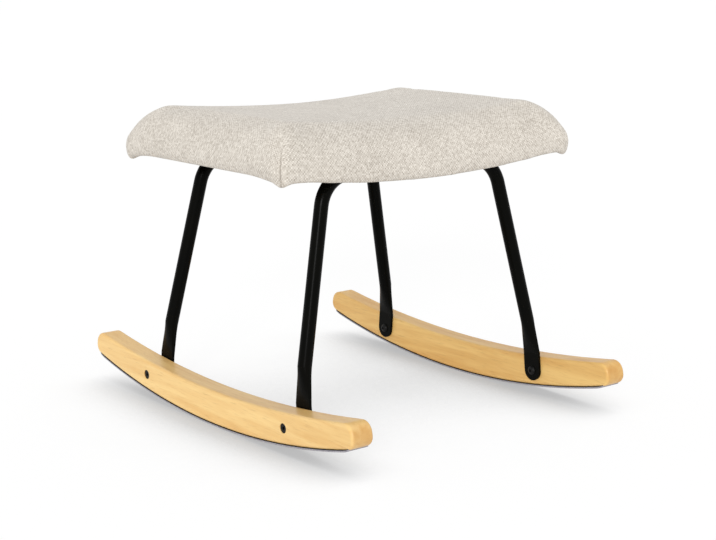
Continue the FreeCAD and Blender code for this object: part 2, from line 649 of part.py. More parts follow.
TEE_NUT_INNER_EDGE = "({frame_screw_offset} - {tee_nut_flange_diameter} / 2)"
TEE_NUT_TOP = "(%s - sqrt(pow(%s; 2) - pow(%s; 2)))" % (
    SADDLE_CENTRE, saddle_radius(BOARD_TOP), TEE_NUT_INNER_EDGE)
TEE_NUT_SEAT = "(%s - {tee_nut_flange_thickness})" % TEE_NUT_TOP


def make_board():
    """The bent plywood board with its rounded corners and counterbored insert holes."""
    body = make_saddle_layer(
        "seat_board", BOARD_BOTTOM, BOARD_TOP, FRAME_HALF_WIDTH, FRAME_HALF_DEPTH)
    round_edges(body, "Corners", body.Tip, "{board_corner}",
                lambda edge: edge.BoundBox.XLength < STRAIGHT and edge.BoundBox.YLength < STRAIGHT)
    steps = (
        ("InsertHoles", "{tee_nut_barrel_diameter}", None, None),
        ("FlangeRecesses", "{tee_nut_flange_diameter}", {"z": TEE_NUT_SEAT}, "{board_thickness}"),
    )
    for name, diameter, lift, depth in steps:
        holes = new_sketch(body, name + "Sketch", "XY_Plane", lift)
        for across in ("{frame_screw_offset}", "-{frame_screw_offset}"):
            for along in ("{crossbar_offset}", "-{crossbar_offset}"):
                draw_circle(holes, across, along, diameter + " / 2 + {hole_clearance}")
        pocket(body, name, holes, depth, backwards=True)
    return body


def make_long_rail(label, side):
    """The front or rear rail, which follows the saddle below the board."""
    body = new_body(label)
    inner_face = "(%s - {rail_width})" % FRAME_HALF_DEPTH
    outline = new_sketch(body, "Outline", "XZ_Plane", {"z": "%d * %s" % (-side, inner_face)})
    corner = "(%s - {board_corner})" % FRAME_HALF_WIDTH
    saddle_strip(outline, RAIL_BOTTOM, BOARD_BOTTOM, "-" + corner, corner)
    pad(body, "Rail", outline, "{rail_width}", backwards=side > 0)
    return body


def make_end_rail(label, side):
    """The left or right rail between the two long ones."""
    body = new_body(label)
    outline = new_sketch(body, "Outline", "XZ_Plane")
    near = "(%s - {board_corner} - {rail_width})" % FRAME_HALF_WIDTH
    far = "(%s - {board_corner})" % FRAME_HALF_WIDTH
    if side > 0:
        saddle_strip(outline, RAIL_BOTTOM, BOARD_BOTTOM, near, far)
    else:
        saddle_strip(outline, RAIL_BOTTOM, BOARD_BOTTOM, "-" + far, "-" + near)
    pad(body, "Rail", outline, "2 * (%s - {rail_width})" % FRAME_HALF_DEPTH, both_ways=True)
    return body


def make_dust_cover():
    """Thin cloth on the board's underside, inside the rails, with a hole at each screw."""
    half_width = "(%s - {board_corner} - {rail_width})" % FRAME_HALF_WIDTH
    body = make_saddle_layer("dust_cover", CLOTH_HEIGHT, CLOTH_TOP, half_width,
                             "(%s - {rail_width})" % FRAME_HALF_DEPTH)
    holes = new_sketch(body, "ScrewHolesSketch", "XY_Plane")
    for across in ("{frame_screw_offset}", "-{frame_screw_offset}"):
        for along in ("{crossbar_offset}", "-{crossbar_offset}"):
            draw_circle(holes, across, along, "{frame_screw_diameter} / 2 + {hole_clearance}")
    pocket(body, "ScrewHoles", holes, backwards=True)
    return body


# Fasteners between the leg frames and the seat

def make_tee_nuts():
    """Threaded inserts let into the board's upper face."""
    body = new_body("tee_nut")
    half = new_sketch(body, "HalfProfile", "XZ_Plane")
    bore = "({frame_screw_diameter} / 2 + {thread_clearance})"
    barrel = "{tee_nut_barrel_diameter} / 2"
    low = "-{tee_nut_barrel_length}"
    flange = "{tee_nut_flange_diameter} / 2"
    top = "{tee_nut_flange_thickness}"
    draw_outline(half, (
        (bore, low), (barrel, low), (barrel, None), (flange, None), (flange, top), (bore, top)))
    feature = body.newObject("PartDesign::Revolution", "Nut")
    feature.Profile = half
    feature.ReferenceAxis = (origin_feature(body, "Z_Axis"), [""])
    body.setExpression("Placement.Base.x", tied("{frame_screw_offset}"))
    body.setExpression("Placement.Base.y", tied("{crossbar_offset}"))
    body.setExpression("Placement.Base.z", tied(TEE_NUT_SEAT))
    return four_of(body, "tee_nuts")


def make_frame_screws():
    """Pan-head screws from below the crossbars up into the board's inserts."""
    body = new_body("frame_screw")
    half = new_sketch(body, "HalfProfile", "XY_Plane")
    length = "(%s - {crossbar_height} + {tube_diameter} / 2)" % TEE_NUT_TOP
    head = "{frame_screw_head_diameter} / 2"
    low = "-{frame_screw_head_height}"
    draw_outline(half, (
        (low, None), (low, head), (None, head), (None, "{frame_screw_diameter} / 2"),
        (length, "{frame_screw_diameter} / 2"), (length, None)))
    turned(body, "Screw", half)
    six_sided_socket(body, "{socket_width}", "{socket_depth}", "-{frame_screw_head_height}")
    body.Placement = FreeCAD.Placement(
        FreeCAD.Vector(), FreeCAD.Rotation(FreeCAD.Vector(0, 1, 0), -90))
    body.setExpression("Placement.Base.x", tied("{frame_screw_offset}"))
    body.setExpression("Placement.Base.y", tied("{crossbar_offset}"))
    body.setExpression("Placement.Base.z", tied("{crossbar_height} - {tube_diameter} / 2"))
    return four_of(body, "frame_screws")


def make_saddle_spacers():
    """Moulded saddles between the round crossbars and the curved underside of the seat."""
    block = doc.addObject("Part::Box", "SpacerBlock")
    block.setExpression("Length", tied("{saddle_spacer_length}"))
    block.setExpression("Width", tied("{saddle_spacer_width}"))
    block.setExpression("Height", tied("{saddle_spacer_wrap} + {tube_diameter}"))
    block.setExpression("Placement.Base.x", tied("{frame_screw_offset} - {saddle_spacer_length} / 2"))
    block.setExpression("Placement.Base.y", tied("{crossbar_offset} - {saddle_spacer_width} / 2"))
    block.setExpression("Placement.Base.z", tied("%s - {saddle_spacer_wrap}" % CROSSBAR_TOP))
    bar = doc.addObject("Part::Cylinder", "SpacerTubeGroove")
    bar.setExpression("Radius", tied("{tube_diameter} / 2"))
    bar.setExpression("Height", tied("{saddle_spacer_length} + 2 * {cutter_overshoot}"))
    bar.Placement = FreeCAD.Placement(FreeCAD.Vector(), FreeCAD.Rotation(FreeCAD.Vector(0, 1, 0), 90))
    bar.setExpression("Placement.Base.x", tied(
        "{frame_screw_offset} - {saddle_spacer_length} / 2 - {cutter_overshoot}"))
    bar.setExpression("Placement.Base.y", tied("{crossbar_offset}"))
    bar.setExpression("Placement.Base.z", tied("{crossbar_height}"))
    seat = doc.addObject("Part::Cylinder", "SpacerSeatFace")
    seat.setExpression("Radius", tied(saddle_radius(CLOTH_HEIGHT)))
    seat.setExpression("Height", tied("{saddle_spacer_width} + 2 * {cutter_overshoot}"))
    seat.Placement = FreeCAD.Placement(FreeCAD.Vector(), FreeCAD.Rotation(FreeCAD.Vector(1, 0, 0), -90))
    seat.setExpression("Placement.Base.y", tied(
        "{crossbar_offset} - {saddle_spacer_width} / 2 - {cutter_overshoot}"))
    seat.setExpression("Placement.Base.z", tied(SADDLE_CENTRE))
    hole = doc.addObject("Part::Cylinder", "SpacerScrewHole")
    hole.setExpression("Radius", tied("{frame_screw_diameter} / 2 + {hole_clearance}"))
    hole.setExpression("Height", tied("{tube_diameter} + 2 * {cutter_overshoot}"))
    hole.setExpression("Placement.Base.x", tied("{frame_screw_offset}"))
    hole.setExpression("Placement.Base.y", tied("{crossbar_offset}"))
    hole.setExpression("Placement.Base.z", tied("{crossbar_height} - {cutter_overshoot}"))
    shape = block
    for number, tool in enumerate((bar, seat, hole), start=1):
        cut = doc.addObject("Part::Cut", "SpacerCut%d" % number)
        cut.Base = shape
        cut.Tool = tool
        shape = cut
    return four_of(shape, "saddle_spacers")


# Cushion

MIDDLE_SHARES = (-1.0, -0.5, 0.0, 0.5, 1.0)
SHOULDER_ANGLES = (0, 20, 38, 54)
LIP_ANGLES = (90, 62, 42, 22)


def saddle_rise(across):
    """How far the saddle curve rises from the middle of the seat to this distance across."""
    radius = size("seat_curve_radius")
    return radius - math.sqrt(radius ** 2 - across ** 2)


def fade(distance, reach):
    """The quarter-round that a shoulder follows: 1 inside it, 0 at the edge."""
    share = min(max(distance / reach, 0.0), 1.0)
    return math.sqrt(1.0 - share ** 2)


class Cushion:
    """The outer surface of the seat, drawn in evenly by a thickness, as sections across it."""

    def __init__(self, thickness):
        self.half_width = size("seat_half_width") - thickness
        self.half_depth = size("seat_half_depth") - thickness
        self.bottom = size("seat_rim_height") + thickness
        self.height = size("seat_thickness") - 2 * thickness
        self.widest = size("seat_widest_height") - thickness
        self.end_shoulder = size("seat_end_shoulder") - thickness
        self.front_shoulder = size("seat_front_shoulder") - thickness
        self.corner = size("seat_plan_corner") - thickness

    def top(self, across, along, half_depth):
        """Height of the upper surface above the widest line."""
        ends = fade(abs(across) - self.half_width + self.end_shoulder, self.end_shoulder)
        sides = fade(abs(along) - half_depth + self.front_shoulder, self.front_shoulder)
        crown = size("seat_crown") * (1 - (along / half_depth) ** 2) * (1 - (across / self.half_width) ** 2)
        return (self.height - self.widest + crown) * ends * sides

    def section(self, across):
        """One closed section in the plane at this distance across the seat."""
        inside = self.half_width - abs(across)
        into_corner = max(self.corner - inside, 0.0)
        half_depth = self.half_depth - self.corner + math.sqrt(self.corner ** 2 - into_corner ** 2)
        draw_in = size("seat_draw_in")
        base = self.bottom + saddle_rise(across)
        belt = base + self.widest
        turn = fade(draw_in - min(inside, draw_in), draw_in)
        rim = belt - self.widest * turn
        rim_half = half_depth - draw_in * turn
        ear = size("seat_ear_drop") * turn * math.exp(-(inside / size("seat_ear_reach")) ** 2)
        ear_half = half_depth - size("seat_ear_reach")

        def point(along, height):
            return FreeCAD.Vector(across, along, height)

        def side_low(sign):
            middle = math.sqrt(0.5)
            return point(sign * (half_depth - draw_in * turn * (1 - middle)),
                         belt - (self.widest * turn + ear) * middle)

        def shoulder(sign, share):
            reach = half_depth - self.front_shoulder * (1 - math.sin(share * math.pi / 2))
            return point(sign * reach, belt + self.top(across, reach, half_depth))

        def half_arcs(sign):
            belt_point = point(sign * half_depth, belt)
            return [
                Part.Arc(point(sign * rim_half, rim - ear), side_low(sign), belt_point),
                Part.Arc(belt_point, shoulder(sign, 0.5), shoulder(sign, 0.0)),
            ]

        crest = point(0, belt + self.top(across, 0, half_depth))
        edges = [
            Part.LineSegment(point(-ear_half, rim), point(ear_half, rim)),
            Part.LineSegment(point(ear_half, rim), point(rim_half, rim - ear)),
        ]
        edges += half_arcs(1)
        edges.append(Part.Arc(shoulder(1, 0.0), crest, shoulder(-1, 0.0)))
        edges += half_arcs(-1)[::-1]
        edges.append(Part.LineSegment(point(-rim_half, rim - ear), point(-ear_half, rim)))
        return Part.Wire(Part.__sortEdges__([edge.toShape() for edge in edges]))

    def middle_stations(self):
        """Sections of the even saddle between the two rounded ends."""
        straight = self.half_width - self.end_shoulder
        return [straight * share for share in MIDDLE_SHARES]

    def end_stations(self):
        """Sections of one rounded end, closer together towards its side."""
        shoulder = [self.half_width - self.end_shoulder * (1 - math.sin(math.radians(angle)))
                    for angle in SHOULDER_ANGLES]
        lip = [self.half_width - size("seat_draw_in") * (1 - math.cos(math.radians(angle)))
               for angle in LIP_ANGLES]
        return shoulder + lip

    def solid(self):
        """The saddle as one smooth loft, with a ruled loft for each rounded end."""
        stations = self.middle_stations()
        middle = Part.makeLoft([self.section(across) for across in stations], True, False)
        ends = [
            Part.makeLoft([self.section(side * across) for across in self.end_stations()], True, True)
            for side in (-1, 1)]
        return middle.multiFuse(ends)


def seat_space(bottom, top, half_width, half_depth, corner):
    """The upright block below a saddle curve that the board and the rails fill."""
    block = Part.makeBox(2 * half_width, 2 * half_depth, top - bottom,
                         FreeCAD.Vector(-half_width, -half_depth, bottom))
    upright = [edge for edge in block.Edges if edge.BoundBox.ZLength > (top - bottom) / 2]
    return block.makeFillet(corner, upright)


def shown_shape(label, shape):
    feature = doc.addObject("Part::Feature", label)
    feature.Label = label
    feature.Shape = shape
    return feature


def make_cushion(board):
    """The foam pad on the board and the cover round it, open below inside its turned-in edge."""
    outer = Cushion(0.0).solid()
    inner = Cushion(size("cover_thickness")).solid()
    centre = value_of(board, SADDLE_CENTRE)
    top_radius = value_of(board, saddle_radius(BOARD_TOP))
    half_width = value_of(board, FRAME_HALF_WIDTH)
    half_depth = value_of(board, FRAME_HALF_DEPTH)
    overshoot = size("cutter_overshoot")
    low = size("seat_rim_height") - overshoot
    high = value_of(board, BOARD_TOP) + saddle_rise(half_width) + overshoot
    block = seat_space(low, high, half_width, half_depth, size("board_corner"))
    past = half_depth + overshoot
    above_board = Part.makeCylinder(
        top_radius, 2 * past, FreeCAD.Vector(0, -past, centre), FreeCAD.Vector(0, 1, 0))
    foam = inner.cut(block.cut(above_board))
    hem = size("cover_hem")
    opening = seat_space(low, value_of(board, CROSSBAR_TOP), size("seat_half_width") - hem,
                         size("seat_half_depth") - hem, size("board_corner"))
    cover = outer.cut(inner).cut(opening)
    return shown_shape("foam_pad", foam.Solids[0]), shown_shape("seat_cover", cover.Solids[0])


def make_staples():
    """Crowns of the staples that hold the cover's turned-in edge up to the rails."""
    crown = size("staple_crown")
    wire = size("staple_wire")
    across_row = size("seat_half_width") - size("staple_inset")
    along_row = size("seat_half_depth") - size("staple_inset")
    spacing = size("staple_spacing")
    staples = []

    def staple(across, along, turn):
        radius = size("seat_curve_radius")
        bar = Part.makeBox(crown, wire, wire, FreeCAD.Vector(-crown / 2, -wire / 2, -wire))
        bar.rotate(FreeCAD.Vector(), FreeCAD.Vector(0, 0, 1), turn)
        bar.rotate(FreeCAD.Vector(), FreeCAD.Vector(0, 1, 0), -math.degrees(math.asin(across / radius)))
        bar.translate(FreeCAD.Vector(across, along, size("seat_rim_height") + saddle_rise(across)))
        staples.append(bar)

    long_count = int(2 * (across_row - spacing) / spacing) // 2
    short_count = int(2 * (along_row - spacing) / spacing) // 2
    for side in (-1, 1):
        for step in range(-long_count, long_count + 1):
            staple(step * spacing, side * along_row, 0)
        for step in range(-short_count, short_count + 1):
            staple(side * across_row, step * spacing, 90)
    return shown_shape("cover_staples", Part.makeCompound(staples))


def broken(item):
    """Whether an object of the document failed or has no good shape."""
    if "Invalid" in item.State or "Error" in item.State:
        return True
    return hasattr(item, "Shape") and item.isDerivedFrom("Part::Feature") and (
        item.Shape.isNull() or not item.Shape.isValid())


fill_sheet()
board = make_board()
nodes = [
    make_rocker("left_rocker", -1),
    make_rocker("right_rocker", 1),
    make_felt_strip("left_felt_strip", -1),
    make_felt_strip("right_felt_strip", 1),
    make_leg_frame("front_leg_frame", -1),
    make_leg_frame("rear_leg_frame", 1),
    make_rocker_bolts(),
    make_sleeve_nuts(),
    board,
    make_long_rail("front_rail", -1),
    make_long_rail("rear_rail", 1),
    make_end_rail("left_rail", -1),
    make_end_rail("right_rail", 1),
    make_dust_cover(),
    make_tee_nuts(),
    make_frame_screws(),
    make_saddle_spacers(),
    make_staples(),
]
nodes += make_cushion(board)
doc.recompute()

faults = [item.Label for item in doc.Objects if broken(item)]
if faults:
    raise ValueError("these objects failed: " + ", ".join(faults))

os.makedirs("parts", exist_ok=True)
for node in nodes:
    if node.Shape.isNull() or not node.Shape.isValid() or not node.Shape.Solids:
        raise ValueError("%s has no good solid" % node.Label)
    node.Shape.exportStep(os.path.join("parts", node.Label + ".step"))
    print("%-18s %2d solid(s) %12.1f mm3" % (node.Label, len(node.Shape.Solids), node.Shape.Volume))
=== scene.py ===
import math

import bmesh
import bpy
import numpy as np
from mathutils import Matrix, Vector


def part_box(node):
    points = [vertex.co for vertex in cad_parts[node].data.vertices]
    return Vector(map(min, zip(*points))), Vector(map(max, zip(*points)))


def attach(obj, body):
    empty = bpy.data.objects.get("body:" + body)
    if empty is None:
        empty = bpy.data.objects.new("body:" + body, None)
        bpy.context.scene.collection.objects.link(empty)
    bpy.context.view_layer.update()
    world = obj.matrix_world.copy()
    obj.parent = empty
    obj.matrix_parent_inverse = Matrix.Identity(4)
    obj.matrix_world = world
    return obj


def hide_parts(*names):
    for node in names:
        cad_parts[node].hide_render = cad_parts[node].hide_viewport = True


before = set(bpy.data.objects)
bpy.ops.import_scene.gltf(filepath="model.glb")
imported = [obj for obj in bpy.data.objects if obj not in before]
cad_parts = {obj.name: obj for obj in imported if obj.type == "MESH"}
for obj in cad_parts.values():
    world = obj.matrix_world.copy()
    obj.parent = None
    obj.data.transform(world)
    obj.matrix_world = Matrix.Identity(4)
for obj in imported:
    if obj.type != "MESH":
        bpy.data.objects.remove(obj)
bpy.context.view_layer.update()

bl_info = {
    "name": "Rocking footstool",
    "version": (1, 0, 0),
    "blender": (4, 5, 0),
    "location": "3D View > Sidebar > Footstool",
    "description": "Padded saddle seat on bent tube legs and two wooden rockers",
    "category": "Object",
}

SEAT_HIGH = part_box("seat_cover")[1]
BOARD_LOW, BOARD_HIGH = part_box("seat_board")
FELT_LOW, FELT_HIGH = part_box("left_felt_strip")
CLOTH_LOW, CLOTH_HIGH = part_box("dust_cover")
MM = 0.001


# Sizes and colours

def length(name, words, default):
    return bpy.props.FloatProperty(name=name, description=words, default=default, unit="LENGTH")


def angle(name, words, degrees):
    return bpy.props.FloatProperty(
        name=name, description=words, default=math.radians(degrees), subtype="ANGLE")


def number(name, words, default, unit="NONE"):
    return bpy.props.FloatProperty(name=name, description=words, default=default, unit=unit)


def factor(name, words, default):
    return bpy.props.FloatProperty(
        name=name, description=words, default=default, subtype="FACTOR", min=0, max=1)


def linear(code):
    """Turn an sRGB hex colour into the linear values that the shaders use."""
    parts = [int(code[start:start + 2], 16) / 255 for start in (1, 3, 5)]
    return [part / 12.92 if part <= 0.04045 else ((part + 0.055) / 1.055) ** 2.4
            for part in parts] + [1.0]


def colour(name, words, code):
    return bpy.props.FloatVectorProperty(
        name=name, description=words, default=linear(code), size=4, subtype="COLOR", min=0, max=1)


class FootstoolSeatSizes(bpy.types.PropertyGroup):
    """Shape of the padded seat."""
    half_width: length("Half width", "Middle of the seat to its side, across the rockers", SEAT_HIGH.x)
    half_depth: length("Half depth", "Middle of the seat to its front", SEAT_HIGH.y)
    rim_height: length("Rim height", "Floor to the lower edge of the seat at its middle", 0.3566)
    curve_radius: length("Saddle radius", "Radius of the saddle curve at the lower edge", 1.787)
    thickness: length("Thickness", "Lower edge to the top of the pad, before its crown", 0.0716)
    crown: length("Crown", "Rise of the pad's middle over its edges", 0.0075)
    widest_height: length("Widest line", "Lower edge to the widest line of the side", 0.0145)
    draw_in: length("Draw-in", "How far the lower edge is drawn in", 0.0065)
    end_shoulder: length("End shoulder", "Rounding of the left and right shoulders", 0.048)
    front_shoulder: length("Front shoulder", "Rounding of the front and back shoulders", 0.056)
    plan_corner: length("Corner", "Corner radius seen from above", 0.018)
    ear_drop: length("Ear drop", "How far the corners hang below the lower edge", 0.0049)
    ear_reach: length("Ear reach", "Distance over which a corner fades out", 0.030)
    cover_thickness: length("Cover thickness", "Fabric with its lining", 0.0015)
    hem: length("Hem", "Turned-in edge of the cover, from the side of the seat", 0.036)
    board_thickness: length("Board thickness", "Bent plywood board", 0.009)
    board_corner: length("Board corner", "Corner radius of the room for the board", 0.013)
    ear_tip_drop: length("Ear tip drop", "How much further the folded tip of a corner hangs", 0.0058)
    ear_tip_inset: length("Ear tip inset", "Sides of the seat to the middle of that tip", 0.0090)
    ear_tip_reach: length("Ear tip reach", "Distance over which that tip fades out", 0.0100)
    swell: length("Swell", "How much larger than the construction's cover the pad starts", 0.0006)
    puff_limit: length("Puff limit", "How far a point of the cloth may move", 0.0030)
    held_height: length("Held height", "Height over which the staples' hold fades out", 0.034)
    pressure: number("Pressure", "Air pressure inside the cloth", 4.0)
    voxel: length("Voxel", "Size of the remeshed faces", 0.005)


class FootstoolTrimSizes(bpy.types.PropertyGroup):
    """Shape of the felt and the cloth under the seat."""
    felt_thickness: length("Felt thickness", "Thickness of the felt strip", 0.003)
    felt_radius: length("Rocking radius", "Radius of the rocking curve, on the wood", 1.300)
    felt_tip: length("Felt tip", "Length of the felt that leaves the curve at each end", 0.014)
    felt_lift: angle("Felt lift", "How far the felt's tips bend up", 14.0)
    cloth_sag: length("Cloth sag", "How far the dust cloth hangs between its fixings", 0.0016)
    screw_across: length("Screw across", "Middle of the seat to a frame screw, across", 0.088)
    screw_along: length("Screw along", "Middle of the seat to a frame screw, along", 0.1467)


class FootstoolColours(bpy.types.PropertyGroup):
    """Colours of the finishes."""
    thread_light: colour("Light thread", "Lighter thread of the fabric", "#F9F2E7")
    thread_dark: colour("Dark thread", "Darker thread of the fabric", "#A3998C")
    left_wood: colour("Left wood", "Ground colour of the left rocker", "#FFDA94")
    left_grain: colour("Left grain", "Darker grain of the left rocker", "#E3AE62")
    # The right rocker's colours are the left's made darker and more orange: painted shade from the seat
    # above it, with the warmth of light bounced between the parts
    shaded_right_wood: colour("Right wood", "Ground colour of the right rocker", "#F6CC7F")
    shaded_right_grain: colour("Right grain", "Darker grain of the right rocker", "#D79B4B")
    pores: colour("Pores", "Short dark pores of both rockers", "#9C6A34")
    end_grain: colour("End grain", "End grain of both rockers under the lacquer", "#C08A4C")
    # Painted shade: this colour darkens the groove of the sewn line at each corner
    seam: colour("Seam", "Shade in the sewn line at each corner", "#6E655B")
    steel: colour("Steel paint", "Powder coat on the legs", "#040505")
    warm_steel: colour("Warm steel paint", "Second tone of that coat", "#0B0A06")


class FootstoolView(bpy.types.PropertyGroup):
    """Camera and lights."""
    yaw: angle("Yaw", "Direction of the view, from +Y towards +X", 38.171)
    pitch: angle("Pitch", "How far the view looks down", 11.614)
    roll: angle("Roll", "Turn of the camera about its view", -0.391)
    distance: length("Distance", "Camera to the point it looks at", 2.39906)
    target_height: length("Target height", "Height of the point it looks at", 0.180)
    slide_right: length("Slide right", "How far the camera stands to the right of that line", 0.013552)
    slide_up: length("Slide up", "How far the camera stands above that line", 0.013768)
    lens: number("Lens", "Focal length on a 36 mm sensor", 80.04, "CAMERA")
    ambient: number("Ambient", "Light from all round", 0.69)
    key: number("Key", "Strength of the front light", 1.38)
    shading_share: factor("Shading share", "How much of the floor's own shading the camera sees", 0.15)
    # The floor's soft shadow is painted from ambient occlusion, and its lean stands in for a light from
    # the right
    shadow_depth: factor("Shadow depth", "How dark the soft shadow under the stool gets", 0.50)
    shadow_reach: length("Shadow reach", "How far above the floor a piece still shades it", 0.43)
    shadow_lean: angle("Shadow lean", "How far the light that casts it leans to the right", 9.0)


# Shared helpers

def settings():
    """The sizes of the seat and of its trim, as the panel holds them."""
    return bpy.context.scene.footstool_seat, bpy.context.scene.footstool_trim


def clear_selection():
    """Leave edit mode and deselect everything."""
    if bpy.context.object and bpy.context.object.mode != "OBJECT":
        bpy.ops.object.mode_set(mode="OBJECT")
    bpy.ops.object.select_all(action="DESELECT")


def take(piece):
    """Make a piece the only selected and active one."""
    clear_selection()
    piece.select_set(True)
    bpy.context.view_layer.objects.active = piece


def named(name):
    """Name the newest primitive and bake its place into its mesh."""
    piece = bpy.context.object
    piece.name = name
    piece.data.name = name
    bpy.ops.object.transform_apply(location=True, rotation=True, scale=True)
    return piece


def pick(piece, wanted, kind="FACE"):
    """In edit mode, select the faces, edges or vertices that a test picks out."""
    shape = bmesh.from_edit_mesh(piece.data)
    bpy.ops.mesh.select_mode(type=kind)
    bpy.ops.mesh.select_all(action="DESELECT")
    items = {"FACE": shape.faces, "EDGE": shape.edges, "VERT": shape.verts}[kind]
    for item in items:
        item.select_set(wanted(item))
    shape.select_flush_mode()
    bmesh.update_edit_mesh(piece.data)


def hand_over(piece, stands_for):
    """Give a finished piece its body, and hide the nodes it stands for."""
    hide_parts(*stands_for)
    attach(piece, "root")


def add_node(tree, kind, inputs=(), **choices):
    """Add one shader node with its settings; an input is a value or another node's output."""
    made = tree.nodes.new("ShaderNode" + kind)
    for name, choice in choices.items():
        setattr(made, name, choice)
    for socket, value in dict(inputs).items():
        if isinstance(value, bpy.types.NodeSocket):
            tree.links.new(value, made.inputs[socket])
        else:
            made.inputs[socket].default_value = value
    return made


def new_material(name):
    """A material with only a Principled shader and its output."""
    made = bpy.data.materials.new(name)
    made.use_nodes = True
    tree = made.node_tree
    tree.nodes.clear()
    shader = add_node(tree, "BsdfPrincipled")
    add_node(tree, "OutputMaterial", {"Surface": shader.outputs["BSDF"]})
    return made, tree, shader


def set_shader(tree, shader, **values):
    """Set the shader's sockets; an underscore in a name stands for a space."""
    for name, value in values.items():
        socket = shader.inputs[name.replace("_", " ")]
        if isinstance(value, bpy.types.NodeSocket):
            tree.links.new(value, socket)
        else:
            socket.default_value = value


# Materials

def upholstery_fabric():
    """Woven polyester-linen melange: light and dark yarns spun together, in a basket weave."""
    colours = bpy.context.scene.footstool_colours
    made, tree, shader = new_material("Upholstery_fabric_melange_weave")
    place = add_node(tree, "UVMap", uv_map="Cloth").outputs["UV"]
    # Real yarns lie about 1.6 mm apart; drawn at 2.2 mm, so that they show in a small picture
    yarns = 1 / (2.2 * MM)
    spaced = add_node(tree, "Mapping", {"Vector": place, "Scale": (yarns, yarns, 1)})
    axes = add_node(tree, "SeparateXYZ", {"Vector": spaced.outputs["Vector"]})
    waves = []
    for axis in "XY":
        scaled = add_node(tree, "Math", {0: axes.outputs[axis], 1: math.pi}, operation="MULTIPLY")
        waves.append(add_node(tree, "Math", {0: scaled.outputs[0]}, operation="SINE").outputs[0])
    weave = add_node(tree, "Math", {0: waves[0], 1: waves[1]}, operation="MULTIPLY").outputs[0]
    # One random tone for each crossing of two yarns
    cell = add_node(tree, "VectorMath", {0: spaced.outputs["Vector"]}, operation="FLOOR")
    yarn = add_node(tree, "TexWhiteNoise", {"Vector": cell.outputs[0]}, noise_dimensions="2D")
    # Thick places in the yarns are about 5 mm long, and paler and darker areas 70 mm wide
    slub = add_node(tree, "TexNoise", {
        "Vector": place, "Scale": 1 / (5.263 * MM), "Detail": 2.0, "Roughness": 0.6},
        noise_dimensions="2D")
    cloud = add_node(tree, "TexNoise", {
        "Vector": place, "Scale": 1 / (71.43 * MM), "Detail": 2.0}, noise_dimensions="2D")
    # The weave's crossings also go into the tone: painted highlight on the raised yarns and painted
    # shade on the sunken ones; the yarns, slubs and clouds are the cloth's own tones
    tone = 0.41
    for share, source in ((0.16, weave), (0.30, yarn.outputs["Value"]), (0.24, slub.outputs["Fac"]),
                          (0.14, cloud.outputs["Fac"])):
        added = add_node(tree, "Math", {0: source, 1: share, 2: tone}, operation="MULTIPLY_ADD")
        tone = added.outputs[0]
    ramp = add_node(tree, "MapRange", {"Value": tone, "From Min": 0.35, "From Max": 1.05})
    mixed = add_node(tree, "Mix", {"Factor": ramp.outputs["Result"], "A": colours.thread_dark,
                                   "B": colours.thread_light}, data_type="RGBA")
    # The sewn line at each corner is darkened by painted shade, as in a dark fold between the two edges
    # of cloth
    sewn = add_node(tree, "Attribute", attribute_name="seam", attribute_type="GEOMETRY")
    painted_seam_shade = add_node(tree, "Math", {0: sewn.outputs["Fac"], 1: 0.45}, operation="MULTIPLY")
    mixed = add_node(tree, "Mix", {"Factor": painted_seam_shade.outputs[0], "A": mixed.outputs["Result"],
                                   "B": colours.seam}, data_type="RGBA")
    height = add_node(tree, "Math", {0: yarn.outputs["Value"], 1: 0.35, 2: weave},
                      operation="MULTIPLY_ADD")
    bump = add_node(tree, "Bump", {
        "Height": height.outputs[0], "Strength": 0.55, "Distance": 0.35 * MM})
    set_shader(tree, shader, Base_Color=mixed.outputs["Result"], Roughness=0.92,
               Normal=bump.outputs["Normal"], Sheen_Weight=0.25, Sheen_Roughness=0.5,
               Specular_IOR_Level=0.2)
    return made


